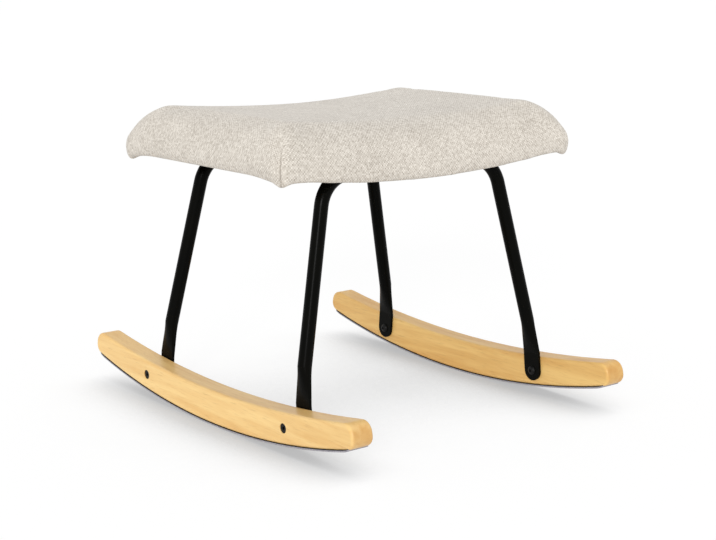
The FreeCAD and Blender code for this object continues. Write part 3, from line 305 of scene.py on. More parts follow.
def rocker_wood(name, ground_colour, grain_colour):
    """Rubberwood under a clear satin lacquer: straight yellow grain with short dark pores."""
    colours = bpy.context.scene.footstool_colours
    made, tree, shader = new_material(name)
    place = add_node(tree, "TexCoord").outputs["Object"]
    # Growth bands run along Y, about 10 mm apart, in broad shades 40 mm wide, and wander slightly
    stretched = add_node(tree, "Mapping", {"Vector": place, "Scale": (1.0, 0.07, 1.0)})
    lengthwise = stretched.outputs["Vector"]
    bands = add_node(tree, "TexNoise", {
        "Vector": lengthwise, "Scale": 1 / (10.526 * MM), "Detail": 4.0, "Roughness": 0.55,
        "Distortion": 0.35})
    broad = add_node(tree, "TexNoise", {
        "Vector": lengthwise, "Scale": 1 / (38.46 * MM), "Detail": 2.0})
    tone = 0.0
    for share, source in ((0.55, broad), (0.60, bands)):
        added = add_node(tree, "Math", {0: source.outputs["Fac"], 1: share, 2: tone},
                         operation="MULTIPLY_ADD")
        tone = added.outputs[0]
    ramp = add_node(tree, "MapRange", {"Value": tone, "From Min": 0.42, "From Max": 0.82})
    ground = add_node(tree, "Mix", {"Factor": ramp.outputs["Result"], "A": ground_colour,
                                    "B": grain_colour}, data_type="RGBA")
    # Real pores are 0.2 mm wide and 5 to 10 mm long; drawn about 0.4 mm wide, so that they show
    pored = add_node(tree, "Mapping", {"Vector": place, "Scale": (1.0, 0.045, 1.0)})
    pores = add_node(tree, "TexNoise", {
        "Vector": pored.outputs["Vector"], "Scale": 1 / (1.1111 * MM), "Detail": 1.0})
    pore = add_node(tree, "MapRange", {
        "Value": pores.outputs["Fac"], "From Min": 0.60, "From Max": 0.74, "To Max": 0.22})
    sides = add_node(tree, "Mix", {"Factor": pore.outputs["Result"], "A": ground.outputs["Result"],
                                   "B": colours.pores}, data_type="RGBA")
    # End grain drinks in more lacquer, so it is darker than the sides
    normal = add_node(tree, "NewGeometry").outputs["Normal"]
    parts = add_node(tree, "SeparateXYZ", {"Vector": normal})
    endwise = add_node(tree, "Math", {0: parts.outputs["Y"]}, operation="ABSOLUTE")
    end_share = add_node(tree, "MapRange", {
        "Value": endwise.outputs[0], "From Min": 0.55, "From Max": 0.95, "To Max": 0.34})
    mixed = add_node(tree, "Mix", {"Factor": end_share.outputs["Result"], "A": sides.outputs["Result"],
                                   "B": colours.end_grain}, data_type="RGBA")
    bump = add_node(tree, "Bump", {
        "Height": pores.outputs["Fac"], "Strength": 0.12, "Distance": 0.1 * MM})
    set_shader(tree, shader, Base_Color=mixed.outputs["Result"], Roughness=0.42,
               Normal=bump.outputs["Normal"], Coat_Weight=0.15, Coat_Roughness=0.3,
               Specular_IOR_Level=0.35)
    return made


def painted_steel():
    """Black semi-gloss powder coat on steel tube: deep black with a fine orange-peel ripple."""
    colours = bpy.context.scene.footstool_colours
    made, tree, shader = new_material("Steel_black_powder_coat")
    place = add_node(tree, "TexCoord").outputs["Object"]
    # The ripple is about 2.4 mm from crest to crest, and the gloss changes over 45 mm
    ripple = add_node(tree, "TexNoise", {"Vector": place, "Scale": 1 / (2.381 * MM), "Detail": 2.0})
    wear = add_node(tree, "TexNoise", {"Vector": place, "Scale": 1 / (45.45 * MM), "Detail": 4.0})
    gloss = add_node(tree, "MapRange", {"Value": wear.outputs["Fac"], "To Min": 0.20, "To Max": 0.30})
    tint = add_node(tree, "Mix", {"Factor": wear.outputs["Fac"], "A": colours.steel,
                                  "B": colours.warm_steel}, data_type="RGBA")
    bump = add_node(tree, "Bump", {
        "Height": ripple.outputs["Fac"], "Strength": 0.10, "Distance": 0.15 * MM})
    set_shader(tree, shader, Base_Color=tint.outputs["Result"], Roughness=gloss.outputs["Result"],
               Normal=bump.outputs["Normal"], Specular_IOR_Level=0.04)
    return made


def mottled(name, first, second, speck, roughness, relief, stretch=(1, 1, 1), **others):
    """A surface in two tones, with specks and relief of the given sizes in millimetres."""
    made, tree, shader = new_material(name)
    place = add_node(tree, "TexCoord").outputs["Object"]
    stretched = add_node(tree, "Mapping", {"Vector": place, "Scale": stretch})
    specks = add_node(tree, "TexNoise", {
        "Vector": stretched.outputs["Vector"], "Scale": 1 / (speck * MM), "Detail": 5.0,
        "Roughness": 0.6}).outputs["Fac"]
    share = add_node(tree, "MapRange", {"Value": specks, "From Min": 0.35, "From Max": 0.65})
    mixed = add_node(tree, "Mix", {"Factor": share.outputs["Result"], "A": linear(first),
                                   "B": linear(second)}, data_type="RGBA")
    spread = 0.06
    gloss = add_node(tree, "MapRange", {
        "Value": specks, "To Min": roughness - spread, "To Max": roughness + spread})
    bump = add_node(tree, "Bump", {"Height": specks, "Strength": 0.5, "Distance": relief * MM})
    set_shader(tree, shader, Base_Color=mixed.outputs["Result"], Roughness=gloss.outputs["Result"],
               Normal=bump.outputs["Normal"], **others)
    return made


# Seat pad

def saddle_rise(sizes, across):
    """How far the saddle curve rises from the middle of the seat to this distance across."""
    return sizes.curve_radius - math.sqrt(sizes.curve_radius ** 2 - across ** 2)


def shoulder_place(share, straight, shoulder):
    """Spread points evenly round a shoulder: share runs from 0 in the middle to 1 at the side."""
    whole = straight + shoulder
    flat = straight / whole
    if abs(share) <= flat:
        return share * whole
    turn = (abs(share) - flat) / (1 - flat) * math.pi / 2
    return math.copysign(straight + shoulder * math.sin(turn), share)


def fade(distance, reach):
    """Fall from 1 to 0 over the reach as a quarter of a circle does."""
    share = min(max(distance / reach, 0.0), 1.0)
    return math.sqrt(1.0 - share ** 2)


def pad_point(sizes, cube):
    """Where a point of a cube from -1 to 1 goes on the seat's surface, swollen by a little."""
    swell = sizes.swell
    half_width = sizes.half_width + swell
    end_shoulder = sizes.end_shoulder + swell
    front_shoulder = sizes.front_shoulder + swell
    corner = sizes.plan_corner + swell
    widest = sizes.widest_height + swell
    across = shoulder_place(cube.x, half_width - end_shoulder, end_shoulder)
    into = max(corner - (half_width - abs(across)), 0.0)
    half_depth = sizes.half_depth + swell - corner + math.sqrt(max(corner ** 2 - into ** 2, 0.0))
    along = shoulder_place(cube.y, half_depth - front_shoulder, front_shoulder)
    base = sizes.rim_height - swell + saddle_rise(sizes, across)
    belt = base + widest
    # The cube's top becomes the top of the pad, and the rest its sides and underside
    if cube.z > 0.999:
        ends = fade(abs(across) - half_width + end_shoulder, end_shoulder)
        sides = fade(abs(along) - half_depth + front_shoulder, front_shoulder)
        crown = sizes.crown * (1 - (along / half_depth) ** 2) * (1 - (across / half_width) ** 2)
        height = sizes.thickness + 2 * swell - widest + crown
        return Vector((across, along, belt + height * ends * sides))
    turn = math.radians((1 - cube.z) * 45)
    inwards = sizes.draw_in * (1 - math.cos(turn))
    near_corner = math.exp(-((half_width - abs(across)) / sizes.ear_reach) ** 2
                           - ((half_depth - abs(along)) / sizes.ear_reach) ** 2)
    drop = widest * math.sin(turn) + sizes.ear_drop * near_corner * math.sin(turn) ** 2
    return Vector((across * (1 - inwards / half_width), along * (1 - inwards / half_depth),
                   belt - drop))


def puff(piece, sizes):
    """Blow the pad up as stapled cloth, and hold every point near its start."""
    last_frame = 20
    start = [vertex.co.copy() for vertex in piece.data.vertices]
    stapled = piece.vertex_groups.new(name="stapled")
    freedom = []
    for vertex in piece.data.vertices:
        over_rim = vertex.co.z - sizes.rim_height - saddle_rise(sizes, vertex.co.x)
        share = min(max((over_rim - sizes.widest_height / 2) / sizes.held_height, 0.0), 1.0)
        freedom.append(share * share * (3 - 2 * share))
        stapled.add([vertex.index], 1.0 if share == 0 else 0.0, "REPLACE")
    cloth = piece.modifiers.new("Puff", "CLOTH")
    cloth.settings.quality = 5
    cloth.settings.use_pressure = True
    cloth.settings.uniform_pressure_force = sizes.pressure
    cloth.settings.vertex_group_mass = "stapled"
    cloth.settings.effector_weights.gravity = 0
    cloth.collision_settings.use_collision = False
    for moment in range(1, last_frame + 1):
        bpy.context.scene.frame_set(moment)
    take(piece)
    bpy.ops.object.modifier_apply(modifier=cloth.name)
    bpy.context.scene.frame_set(1)
    for vertex, before, share in zip(piece.data.vertices, start, freedom):
        moved = vertex.co - before
        kept = min(1.0, sizes.puff_limit / max(moved.length, 1e-9))
        vertex.co = before + moved * kept * share


def pull_ear_tips(piece, sizes):
    """Pull the folded tips of the cover's corners down below the lower edge."""
    pulled_height = 1.6 * sizes.widest_height
    for vertex in piece.data.vertices:
        over_rim = vertex.co.z - sizes.rim_height - saddle_rise(sizes, vertex.co.x)
        low = min(max(1 - over_rim / pulled_height, 0.0), 1.0)
        across = max(sizes.half_width - sizes.ear_tip_inset - abs(vertex.co.x), 0)
        along = max(sizes.half_depth - sizes.ear_tip_inset - abs(vertex.co.y), 0)
        near = math.exp(-(across / sizes.ear_tip_reach) ** 2 - (along / sizes.ear_tip_reach) ** 2)
        vertex.co.z -= sizes.ear_tip_drop * near * low


def dart_offset(sizes, place):
    """Signed distance of a point from the nearest corner's seam, and how near that corner it is."""
    beside = (abs(place.x) - sizes.half_width) - (abs(place.y) - sizes.half_depth)
    nearness = sizes.half_width + sizes.half_depth - abs(place.x) - abs(place.y)
    return beside / math.sqrt(2), nearness


def sew_darts(piece, sizes):
    """Sink the short seam at each corner and raise the seam allowance beside it."""
    finer_width = 9 * MM
    corner_reach = 0.045
    seam_top, seam_fade = 0.050, 0.022
    groove_depth, groove_width = 1.7 * MM, 1.1 * MM
    ridge_height, ridge_width, ridge_place = 0.7 * MM, 2.0 * MM, 3.4 * MM
    seam_shade_width = 0.8 * MM

    def by_seam(face):
        offset, nearness = dart_offset(sizes, face.calc_center_median())
        return abs(offset) < finer_width and nearness < corner_reach

    take(piece)
    bpy.ops.object.mode_set(mode="EDIT")
    pick(piece, by_seam)
    bpy.ops.mesh.subdivide(number_cuts=3)
    bpy.ops.object.mode_set(mode="OBJECT")
    # The seam attribute marks where painted shade darkens the sunk seam's groove in the fabric
    thread = piece.data.attributes.new("seam", "FLOAT", "POINT")
    for vertex in piece.data.vertices:
        offset, nearness = dart_offset(sizes, vertex.co)
        if nearness > corner_reach:
            continue
        height = vertex.co.z - sizes.rim_height - saddle_rise(sizes, vertex.co.x)
        fading = min(max((seam_top - height) / seam_fade, 0.0), 1.0)
        outwards = Vector((math.copysign(1, vertex.co.x), math.copysign(1, vertex.co.y), 0))
        outwards.normalize()
        groove = groove_depth * math.exp(-(offset / groove_width) ** 2)
        side = offset * (1 if vertex.co.x * vertex.co.y > 0 else -1)
        ridge = ridge_height * math.exp(-((side - ridge_place) / ridge_width) ** 2)
        vertex.co += outwards * (ridge - groove) * fading
        thread.data[vertex.index].value = fading * math.exp(-(offset / seam_shade_width) ** 2)


def rounded_corner(across, along, half, corner):
    """Bring a point on a rectangle's outline onto its rounded corner."""
    past = (abs(across) - half[0] + corner, abs(along) - half[1] + corner)
    if min(past) <= 0:
        return across, along
    reach = corner / math.hypot(*past)
    return (math.copysign(half[0] - corner + past[0] * reach, across),
            math.copysign(half[1] - corner + past[1] * reach, along))


def open_underside(piece, sizes):
    """Cut the opening inside the hem, then line it round the rails and over the board."""
    opening = (sizes.half_width - sizes.hem, sizes.half_depth - sizes.hem)
    seat_frame = (BOARD_HIGH.x + MM, BOARD_HIGH.y + MM)
    hem_top = sizes.rim_height + 0.8 * sizes.cover_thickness
    board_top = BOARD_LOW.z + sizes.board_thickness + MM
    edge_band = 5 * MM

    def faces_down(face):
        place = face.calc_center_median()
        over_rim = place.z - sizes.rim_height - saddle_rise(sizes, place.x)
        return face.normal.z < -0.5 and over_rim < edge_band

    def in_opening(face):
        place = face.calc_center_median()
        return faces_down(face) and abs(place.x) < opening[0] and abs(place.y) < opening[1]

    take(piece)
    bpy.ops.object.mode_set(mode="EDIT")
    for axis in range(2):
        for side in (-1, 1):
            place = Vector()
            direction = Vector()
            place[axis] = side * opening[axis]
            direction[axis] = side
            pick(piece, faces_down)
            bpy.ops.mesh.bisect(plane_co=place, plane_no=direction)
    pick(piece, in_opening)
    bpy.ops.mesh.delete(type="FACE")
    pick(piece, lambda edge: edge.is_boundary, "EDGE")
    outwards = (seat_frame[0] / opening[0], seat_frame[1] / opening[1])
    # Each step of the lining: its growth in width and depth, its corner's radius and its level
    steps = (
        ((1, 1), 0, hem_top),
        (outwards, sizes.board_corner, hem_top),
        ((1, 1), 0, board_top),
        ((0.6, 0.6), 0, board_top),
        ((0.3, 0.3), 0, board_top),
    )
    for (wider, deeper), corner, level in steps:
        bpy.ops.mesh.extrude_region_move()
        shape = bmesh.from_edit_mesh(piece.data)
        for vertex in shape.verts:
            if vertex.select:
                across, along = vertex.co.x * wider, vertex.co.y * deeper
                if corner:
                    across, along = rounded_corner(across, along, seat_frame, corner)
                vertex.co = Vector((across, along, level + saddle_rise(sizes, across)))
        bmesh.update_edit_mesh(piece.data)
    bpy.ops.mesh.merge(type="CENTER")
    bpy.ops.mesh.select_all(action="SELECT")
    bpy.ops.mesh.normals_make_consistent(inside=False)
    bpy.ops.object.mode_set(mode="OBJECT")


def lay_cloth_map(piece, sizes):
    """Unroll the cover into a UV map in metres, so that the weave runs evenly over the shoulders."""
    mesh = piece.data
    corners = np.empty(len(mesh.loops), np.int64)
    mesh.loops.foreach_get("vertex_index", corners)
    places = np.empty(3 * len(mesh.vertices))
    mesh.vertices.foreach_get("co", places)
    places = places.reshape(-1, 3)
    normals = np.empty(3 * len(mesh.polygons))
    mesh.polygons.foreach_get("normal", normals)
    counts = np.empty(len(mesh.polygons), np.int64)
    mesh.polygons.foreach_get("loop_total", counts)
    normals = np.repeat(normals.reshape(-1, 3), counts, axis=0)
    radius = sizes.curve_radius
    belt = sizes.rim_height + sizes.widest_height + radius - np.sqrt(radius ** 2 - places[:, 0] ** 2)
    rise = (places[:, 2] - belt) / (sizes.thickness - sizes.widest_height)
    unrolled = []
    for axis, half, shoulder in ((0, sizes.half_width, sizes.end_shoulder),
                                 (1, sizes.half_depth, sizes.front_shoulder)):
        distance = np.abs(places[:, axis])
        straight = half - shoulder
        past = np.maximum((distance - straight) / shoulder, 0)
        turn = np.arctan2(past, np.maximum(rise, 0) + (past == 0))
        below = np.maximum(belt - places[:, 2], 0) * (past > 0.5)
        mean_radius = (shoulder + sizes.thickness - sizes.widest_height) / 2
        arc = np.minimum(distance, straight) + mean_radius * turn + below
        unrolled.append((np.sign(places[:, axis]) * arc)[corners])
    plain = places[corners]
    sideways = np.abs(normals[:, 0]) > np.abs(normals[:, 1])
    under = normals[:, 2] < -0.7
    across = np.where(under | ~sideways, plain[:, 0], unrolled[0])
    along = np.where(under | sideways, plain[:, 1], unrolled[1])
    layer = mesh.uv_layers.new(name="Cloth")
    layer.uv.foreach_set("vector", np.stack([across, along], axis=1).astype(np.float32).ravel())


def make_seat_pad():
    """Shape a cube as the seat, remesh it evenly, blow it up, then sew and open it."""
    sizes, _ = settings()
    clear_selection()
    bpy.ops.mesh.primitive_cube_add(size=2)
    piece = named("seat_pad")
    bpy.ops.object.mode_set(mode="EDIT")
    bpy.ops.mesh.subdivide(number_cuts=63)
    bpy.ops.object.mode_set(mode="OBJECT")
    for vertex in piece.data.vertices:
        vertex.co = pad_point(sizes, vertex.co)
    piece.data.remesh_voxel_size = sizes.voxel
    bpy.ops.object.voxel_remesh()
    bpy.ops.object.mode_set(mode="EDIT")
    bpy.ops.mesh.select_all(action="SELECT")
    bpy.ops.mesh.vertices_smooth(factor=0.5, repeat=2)
    bpy.ops.object.mode_set(mode="OBJECT")
    puff(piece, sizes)
    rounder = piece.modifiers.new("Rounder", "SUBSURF")
    rounder.levels = rounder.render_levels = 1
    bpy.ops.object.modifier_apply(modifier=rounder.name)
    pull_ear_tips(piece, sizes)
    sew_darts(piece, sizes)
    open_underside(piece, sizes)
    lay_cloth_map(piece, sizes)
    take(piece)
    bpy.ops.object.shade_smooth()
    piece.data.materials.append(upholstery_fabric())
    hand_over(piece, ("seat_cover", "foam_pad"))


# Dust cloth

def make_dust_cloth():
    """Stretch a thin cloth below the board, with a hole at each screw and a slight sag."""
    sizes, trim = settings()
    half_width, half_depth = CLOTH_HIGH.x, CLOTH_HIGH.y
    middle = CLOTH_LOW.z + 0.3 * MM
    hole_radius = 4.2 * MM
    screw_reach = 0.05
    clear_selection()
    bpy.ops.mesh.primitive_grid_add(x_subdivisions=90, y_subdivisions=70, size=2)
    piece = named("dust_cloth")
    bpy.ops.object.mode_set(mode="EDIT")
    bpy.ops.mesh.select_all(action="SELECT")
    bpy.ops.transform.resize(value=(half_width, half_depth, 1))
    screws = [(x, y) for x in (-trim.screw_across, trim.screw_across)
              for y in (-trim.screw_along, trim.screw_along)]

    def from_screw(place):
        return min(math.hypot(place.x - x, place.y - y) for x, y in screws)

    pick(piece, lambda face: from_screw(face.calc_center_median()) < hole_radius)
    bpy.ops.mesh.delete(type="FACE")
    bpy.ops.object.mode_set(mode="OBJECT")
    for vertex in piece.data.vertices:
        across, along = vertex.co.x / half_width, vertex.co.y / half_depth
        ripple = math.sin(9 * across + 4 * along) * math.sin(13 * along - 3 * across)
        slack = (1 - across ** 2) * (1 - along ** 2) * (1 + 0.5 * ripple)
        slack *= min(from_screw(vertex.co) / screw_reach, 1.0) ** 2
        vertex.co.z = middle + saddle_rise(sizes, vertex.co.x) - trim.cloth_sag * slack
    wall = piece.modifiers.new("Wall", "SOLIDIFY")
    wall.thickness = 0.5 * MM
    wall.offset = 0
    bpy.ops.object.modifier_apply(modifier=wall.name)
    bpy.ops.object.shade_smooth_by_angle(angle=math.radians(50))
    # Non-woven polypropylene: matt black with a faint pressed mottle
    piece.data.materials.append(mottled(
        "Polypropylene_non_woven_cloth", "#141415", "#262627", speck=1.43, roughness=0.9, relief=0.2))
    hand_over(piece, ("dust_cover",))


# Felt strips

def spun_layer(trim, middle, width, inner, outer, start):
    """One flat bar that follows the rocking curve, with its two tips bent up off it."""
    curve_steps, tip_steps = 96, 4
    end_line = 0.98 * math.sin(start) * outer
    centre = Vector((middle, 0, trim.felt_radius + trim.felt_thickness))
    down = Vector((0, -math.sin(start), -math.cos(start)))
    clear_selection()
    bpy.ops.mesh.primitive_plane_add(
        size=1, location=centre + down * (inner + outer) / 2, rotation=(math.pi / 2 - start, 0, 0))
    bpy.context.object.scale = (width, outer - inner, 1)
    piece = named("layer")
    bpy.ops.object.mode_set(mode="EDIT")
    bpy.ops.mesh.select_all(action="SELECT")
    bpy.ops.mesh.spin(steps=curve_steps, angle=-2 * start, center=centre, axis=(1, 0, 0))
    for side in (-1, 1):
        def end_face(face, side=side):
            return abs(face.normal.y) > 0.8 and side * face.calc_center_median().y > end_line

        pick(piece, end_face)
        for step in range(tip_steps):
            lean = start + trim.felt_lift * (step + 0.5) / tip_steps
            reach = trim.felt_tip / tip_steps
            move = (0, side * math.cos(lean) * reach, math.sin(lean) * reach)
            bpy.ops.mesh.extrude_region_move(TRANSFORM_OT_translate={"value": move})
    bpy.ops.mesh.select_all(action="SELECT")
    bpy.ops.mesh.remove_doubles(threshold=0.01 * MM)
    bpy.ops.mesh.normals_make_consistent(inside=False)
    bpy.ops.object.mode_set(mode="OBJECT")
    return piece


def make_felt_strip(name, node, side, surfaces):
    """Felt on a thin layer of black glue, a little wider than the felt, that shows as a dark line below
    the wood: partly the glue, partly painted shade of the gap there.
    """
    _, trim = settings()
    middle = side * (FELT_LOW.x + FELT_HIGH.x) / -2
    width = FELT_HIGH.x - FELT_LOW.x
    radius = trim.felt_radius
    glue = 0.6 * MM
    # The glue reaches past the felt's sides so that its black shows below the wood as painted shade of
    # the gap there
    shade_line_overhang = 0.8 * MM
    start = math.asin((FELT_HIGH.y - trim.felt_tip) / (radius + trim.felt_thickness))
    felt = spun_layer(trim, middle, width, radius + glue, radius + trim.felt_thickness, start)
    backing = spun_layer(trim, middle, width + 2 * shade_line_overhang, radius, radius + glue, start)
    take(felt)
    for material in surfaces:
        felt.data.materials.append(material)
        backing.data.materials.append(material)
    for polygon in backing.data.polygons:
        polygon.material_index = 1
    backing.select_set(True)
    bpy.ops.object.join()
    felt.name = felt.data.name = name
    edge = felt.modifiers.new("Edge", "BEVEL")
    edge.width = 0.25 * MM
    edge.segments = 2
    edge.limit_method = "ANGLE"
    bpy.ops.object.modifier_apply(modifier=edge.name)
    bpy.ops.object.shade_smooth_by_angle(angle=math.radians(40))
    hand_over(felt, (node,))


def make_felt():
    """Make both felt strips."""
    # Pressed wool: matt grey-lilac fibres. Glue: a dull black film, partly painted shade where it shows
    # as a dark line
    wool = mottled("Wool_felt_pressed", "#8F8C94", "#B4B1B9", speck=2.083, roughness=0.95, relief=0.4,
                   Sheen_Weight=0.2)
    glue = mottled("Adhesive_backing_and_painted_gap_shade", "#15130F", "#241F1A", speck=3.333, roughness=0.7,
                   relief=0.05)
    make_felt_strip("left_felt", "left_felt_strip", -1, (wool, glue))
    make_felt_strip("right_felt", "right_felt_strip", 1, (wool, glue))


# Finishes of the construction

def dress_frame():
    """Give every carried-over node of the construction its real finish."""
    colours = bpy.context.scene.footstool_colours
    steel = painted_steel()
    left_wood = rocker_wood("Rubberwood_lacquered_pale_board", colours.left_wood, colours.left_grain)
    # The right rocker is the same wood in darker, more orange colours: painted shade from the seat above
    # it
    shaded_right_wood = rocker_wood("Rubberwood_lacquered_painted_shade", colours.shaded_right_wood,
                             colours.shaded_right_grain)
    # Black oxide: a thin dark skin that leaves a soft shine on the bolts
    oxide = mottled("Steel_black_oxide", "#0D0D0E", "#191817", speck=3.846, roughness=0.42,
                    relief=0.05, Specular_IOR_Level=0.15)
    # Zinc plating: pale grey metal, slightly cloudy
    zinc = mottled("Steel_zinc_plated", "#A9ABAE", "#C6C8CB", speck=5.556, roughness=0.34,
                   relief=0.04, Metallic=1.0)
    # Moulded nylon: an even satin black
    nylon = mottled("Nylon_black_moulded", "#121212", "#1C1C1D", speck=1.923, roughness=0.5,
                    relief=0.08)
    # Peeled birch: pale, with long streaks from the knife, in thin plies
    plywood = mottled("Birch_plywood_peeled_veneer", "#D9BE92", "#C7A571", speck=16.67,
                      roughness=0.65, relief=0.1, stretch=(0.1, 1, 4))
    # Planed pine: yellow, with straight darker lines
    pine = mottled("Pine_planed_batten", "#E0C596", "#CDA76C", speck=14.29, roughness=0.6,
                   relief=0.12, stretch=(0.08, 1, 1))
    dressed = {
        steel: ("front_leg_frame", "rear_leg_frame"),
        left_wood: ("left_rocker",),
        shaded_right_wood: ("right_rocker",),
        oxide: ("rocker_bolts", "sleeve_nuts", "frame_screws"),
        zinc: ("cover_staples", "tee_nuts"),
        nylon: ("saddle_spacers",),
        plywood: ("seat_board",),
        pine: ("front_rail", "rear_rail", "left_rail", "right_rail"),
    }
    for surface, names in dressed.items():
        for name in names:
            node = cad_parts[name]
            for holder in node.material_slots:
                holder.material = surface
            if not node.material_slots:
                node.data.materials.append(surface)


# Stage

def background_rays(tree):
    """Pick out the rays that see plain white: the camera's, and those off metal or through glass."""
    path = add_node(tree, "LightPath")
    seen = path.outputs["Is Camera Ray"]
    for name in ("Is Glossy Ray", "Is Transmission Ray"):
        either = add_node(tree, "Math", {0: seen, 1: path.outputs[name]}, operation="MAXIMUM")
        seen = either.outputs[0]
    return seen


def floor_surface(look):
    """Matt white studio floor: the camera sees it lifted to white, with a small share of its own shading
    and the stool's soft shadow painted into the lift from ambient occlusion.
    """
    made = bpy.data.materials.new("Studio_paper_matt_white")
    made.use_nodes = True
    tree = made.node_tree
    tree.nodes.clear()
    paper = 0.9
    kept = look.shading_share
    plain = add_node(tree, "BsdfDiffuse", {"Color": (paper, paper, paper, 1)})
    shaded = add_node(tree, "BsdfDiffuse", {"Color": (kept, kept, kept, 1)})
    # Painted shadow: ambient occlusion, leaned to the right as if lit from there, darkens the lift where
    # the stool is near; no lamp casts it
    sideways = math.sin(look.shadow_lean)
    towards = add_node(tree, "CombineXYZ", {
        "X": sideways * math.cos(look.yaw), "Y": -sideways * math.sin(look.yaw),
        "Z": math.cos(look.shadow_lean)})
    painted_shadow_occlusion = add_node(tree, "AmbientOcclusion", {
        "Distance": look.shadow_reach, "Normal": towards.outputs[0]}, samples=16)
    open_share = add_node(tree, "MapRange", {
        "Value": painted_shadow_occlusion.outputs["AO"], "From Min": 0.42, "From Max": 0.85,
        "To Min": 1.0 - look.shadow_depth, "To Max": 1.0})
    # Where nothing shades the floor, the lift and the floor's own shading add up to white
    lifted = 1.0 - 0.8 * kept
    level = add_node(tree, "Math", {0: open_share.outputs["Result"], 1: lifted}, operation="MULTIPLY")
    lift = add_node(tree, "Emission", {"Color": (1, 1, 1, 1), "Strength": level.outputs[0]})
    both = add_node(tree, "AddShader", {0: shaded.outputs[0], 1: lift.outputs[0]})
    either = add_node(tree, "MixShader", {0: background_rays(tree), 1: plain.outputs[0],
                                          2: both.outputs[0]})
    add_node(tree, "OutputMaterial", {"Surface": either.outputs[0]})
    return made


def add_floor(look):
    """A plain floor that reaches far past the picture's edges."""
    clear_selection()
    bpy.ops.mesh.primitive_plane_add(size=80)
    floor = named("floor")
    floor.data.materials.append(floor_surface(look))


def add_world(look):
    """Even light all round, which the camera, metal and glass see as white."""
    world = bpy.data.worlds.new("Studio")
    world.use_nodes = True
    tree = world.node_tree
    tree.nodes.clear()
    level = add_node(tree, "MapRange", {
        "Value": background_rays(tree), "To Min": look.ambient, "To Max": 1.0})
    shine = add_node(tree, "Background", {"Color": (1, 1, 1, 1), "Strength": level.outputs["Result"]})
    add_node(tree, "OutputWorld", {"Surface": shine.outputs["Background"]})
    bpy.context.scene.world = world


def add_key_light(look):
    """A wide soft sun, low and from just beside the camera."""
    towards_light = Vector((-0.27, -0.28, 0.14))
    turn = towards_light.to_track_quat("Z", "Y").to_euler()
    bpy.ops.object.light_add(type="SUN", rotation=turn)
    key = bpy.context.object
    key.name = "key_light"
    key.data.energy = look.key
    key.data.angle = math.radians(14)


def add_camera(look):
    """Stand the camera where the photograph was taken from."""
    flat = math.cos(look.pitch)
    facing = Vector((math.sin(look.yaw) * flat, math.cos(look.yaw) * flat, -math.sin(look.pitch)))
    right = Vector((math.cos(look.yaw), -math.sin(look.yaw), 0))
    up = right.cross(facing)
    tilted_right = right * math.cos(look.roll) + up * math.sin(look.roll)
    tilted_up = up * math.cos(look.roll) - right * math.sin(look.roll)
    place = Vector((0, 0, look.target_height)) - facing * look.distance
    place += tilted_right * look.slide_right + tilted_up * look.slide_up
    bpy.ops.object.camera_add()
    camera = bpy.context.object
    camera.name = "camera"
    turn = Matrix((tilted_right, tilted_up, -facing)).transposed().to_4x4()
    camera.matrix_world = Matrix.Translation(place) @ turn
    camera.data.sensor_width = 36
    camera.data.lens = look.lens
    camera.data.clip_end = 200
    bpy.context.scene.camera = camera


def set_stage():
    """Set up the floor, the light and the camera."""
    look = bpy.context.scene.footstool_view
    bpy.context.scene.view_settings.view_transform = "Standard"
    add_floor(look)
    add_world(look)
    add_key_light(look)
    add_camera(look)


# Operators and panel

class FOOTSTOOL_OT_stage(bpy.types.Operator):
    """Set the camera, the lights and the white floor"""
    bl_idname = "footstool.set_stage"
    bl_label = "Set the stage"
    bl_options = {"REGISTER", "UNDO"}

    def execute(self, context):
        set_stage()
        return {"FINISHED"}


class FOOTSTOOL_OT_frame(bpy.types.Operator):
    """Give the rockers, legs, fasteners and seat frame their finishes"""
    bl_idname = "footstool.dress_frame"
    bl_label = "Finish wood and metal"
    bl_options = {"REGISTER", "UNDO"}

    def execute(self, context):
        dress_frame()
        return {"FINISHED"}


class FOOTSTOOL_OT_pad(bpy.types.Operator):
    """Make the padded seat with its sewn corners and turned-in edge"""
    bl_idname = "footstool.make_seat_pad"
    bl_label = "Make the seat pad"
    bl_options = {"REGISTER", "UNDO"}

    def execute(self, context):
        make_seat_pad()
        return {"FINISHED"}


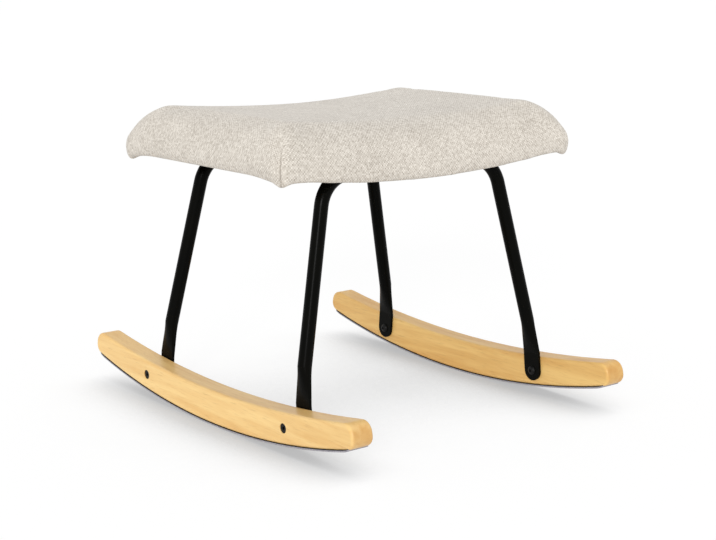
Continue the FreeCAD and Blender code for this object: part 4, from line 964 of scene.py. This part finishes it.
class FOOTSTOOL_OT_cloth(bpy.types.Operator):
    """Make the thin cloth that closes the seat from below"""
    bl_idname = "footstool.make_dust_cloth"
    bl_label = "Make the dust cloth"
    bl_options = {"REGISTER", "UNDO"}

    def execute(self, context):
        make_dust_cloth()
        return {"FINISHED"}


class FOOTSTOOL_OT_felt(bpy.types.Operator):
    """Make the felt strips below the rockers"""
    bl_idname = "footstool.make_felt"
    bl_label = "Make the felt strips"
    bl_options = {"REGISTER", "UNDO"}

    def execute(self, context):
        make_felt()
        return {"FINISHED"}


class FOOTSTOOL_PT_panel(bpy.types.Panel):
    """The footstool's sizes, colours and pieces"""
    bl_idname = "FOOTSTOOL_PT_panel"
    bl_label = "Rocking footstool"
    bl_space_type = "VIEW_3D"
    bl_region_type = "UI"
    bl_category = "Footstool"

    def draw(self, context):
        for operator in OPERATORS:
            self.layout.operator(operator.bl_idname)
        for title, group in GROUPS.items():
            box = self.layout.box()
            box.label(text=title.replace("_", " "))
            for name in group.__annotations__:
                box.prop(getattr(context.scene, title), name)


OPERATORS = (
    FOOTSTOOL_OT_stage,
    FOOTSTOOL_OT_frame,
    FOOTSTOOL_OT_pad,
    FOOTSTOOL_OT_cloth,
    FOOTSTOOL_OT_felt,
)
GROUPS = {
    "footstool_seat": FootstoolSeatSizes,
    "footstool_trim": FootstoolTrimSizes,
    "footstool_colours": FootstoolColours,
    "footstool_view": FootstoolView,
}


def register():
    for group in GROUPS.values():
        bpy.utils.register_class(group)
    for title, group in GROUPS.items():
        setattr(bpy.types.Scene, title, bpy.props.PointerProperty(type=group))
    for operator in OPERATORS:
        bpy.utils.register_class(operator)
    bpy.utils.register_class(FOOTSTOOL_PT_panel)


def unregister():
    bpy.utils.unregister_class(FOOTSTOOL_PT_panel)
    for operator in reversed(OPERATORS):
        bpy.utils.unregister_class(operator)
    for title, group in GROUPS.items():
        delattr(bpy.types.Scene, title)
        bpy.utils.unregister_class(group)


def main():
    register()
    bpy.ops.footstool.set_stage()
    bpy.ops.footstool.dress_frame()
    bpy.ops.footstool.make_seat_pad()
    bpy.ops.footstool.make_dust_cloth()
    bpy.ops.footstool.make_felt()


if __name__ == "__main__":
    main()
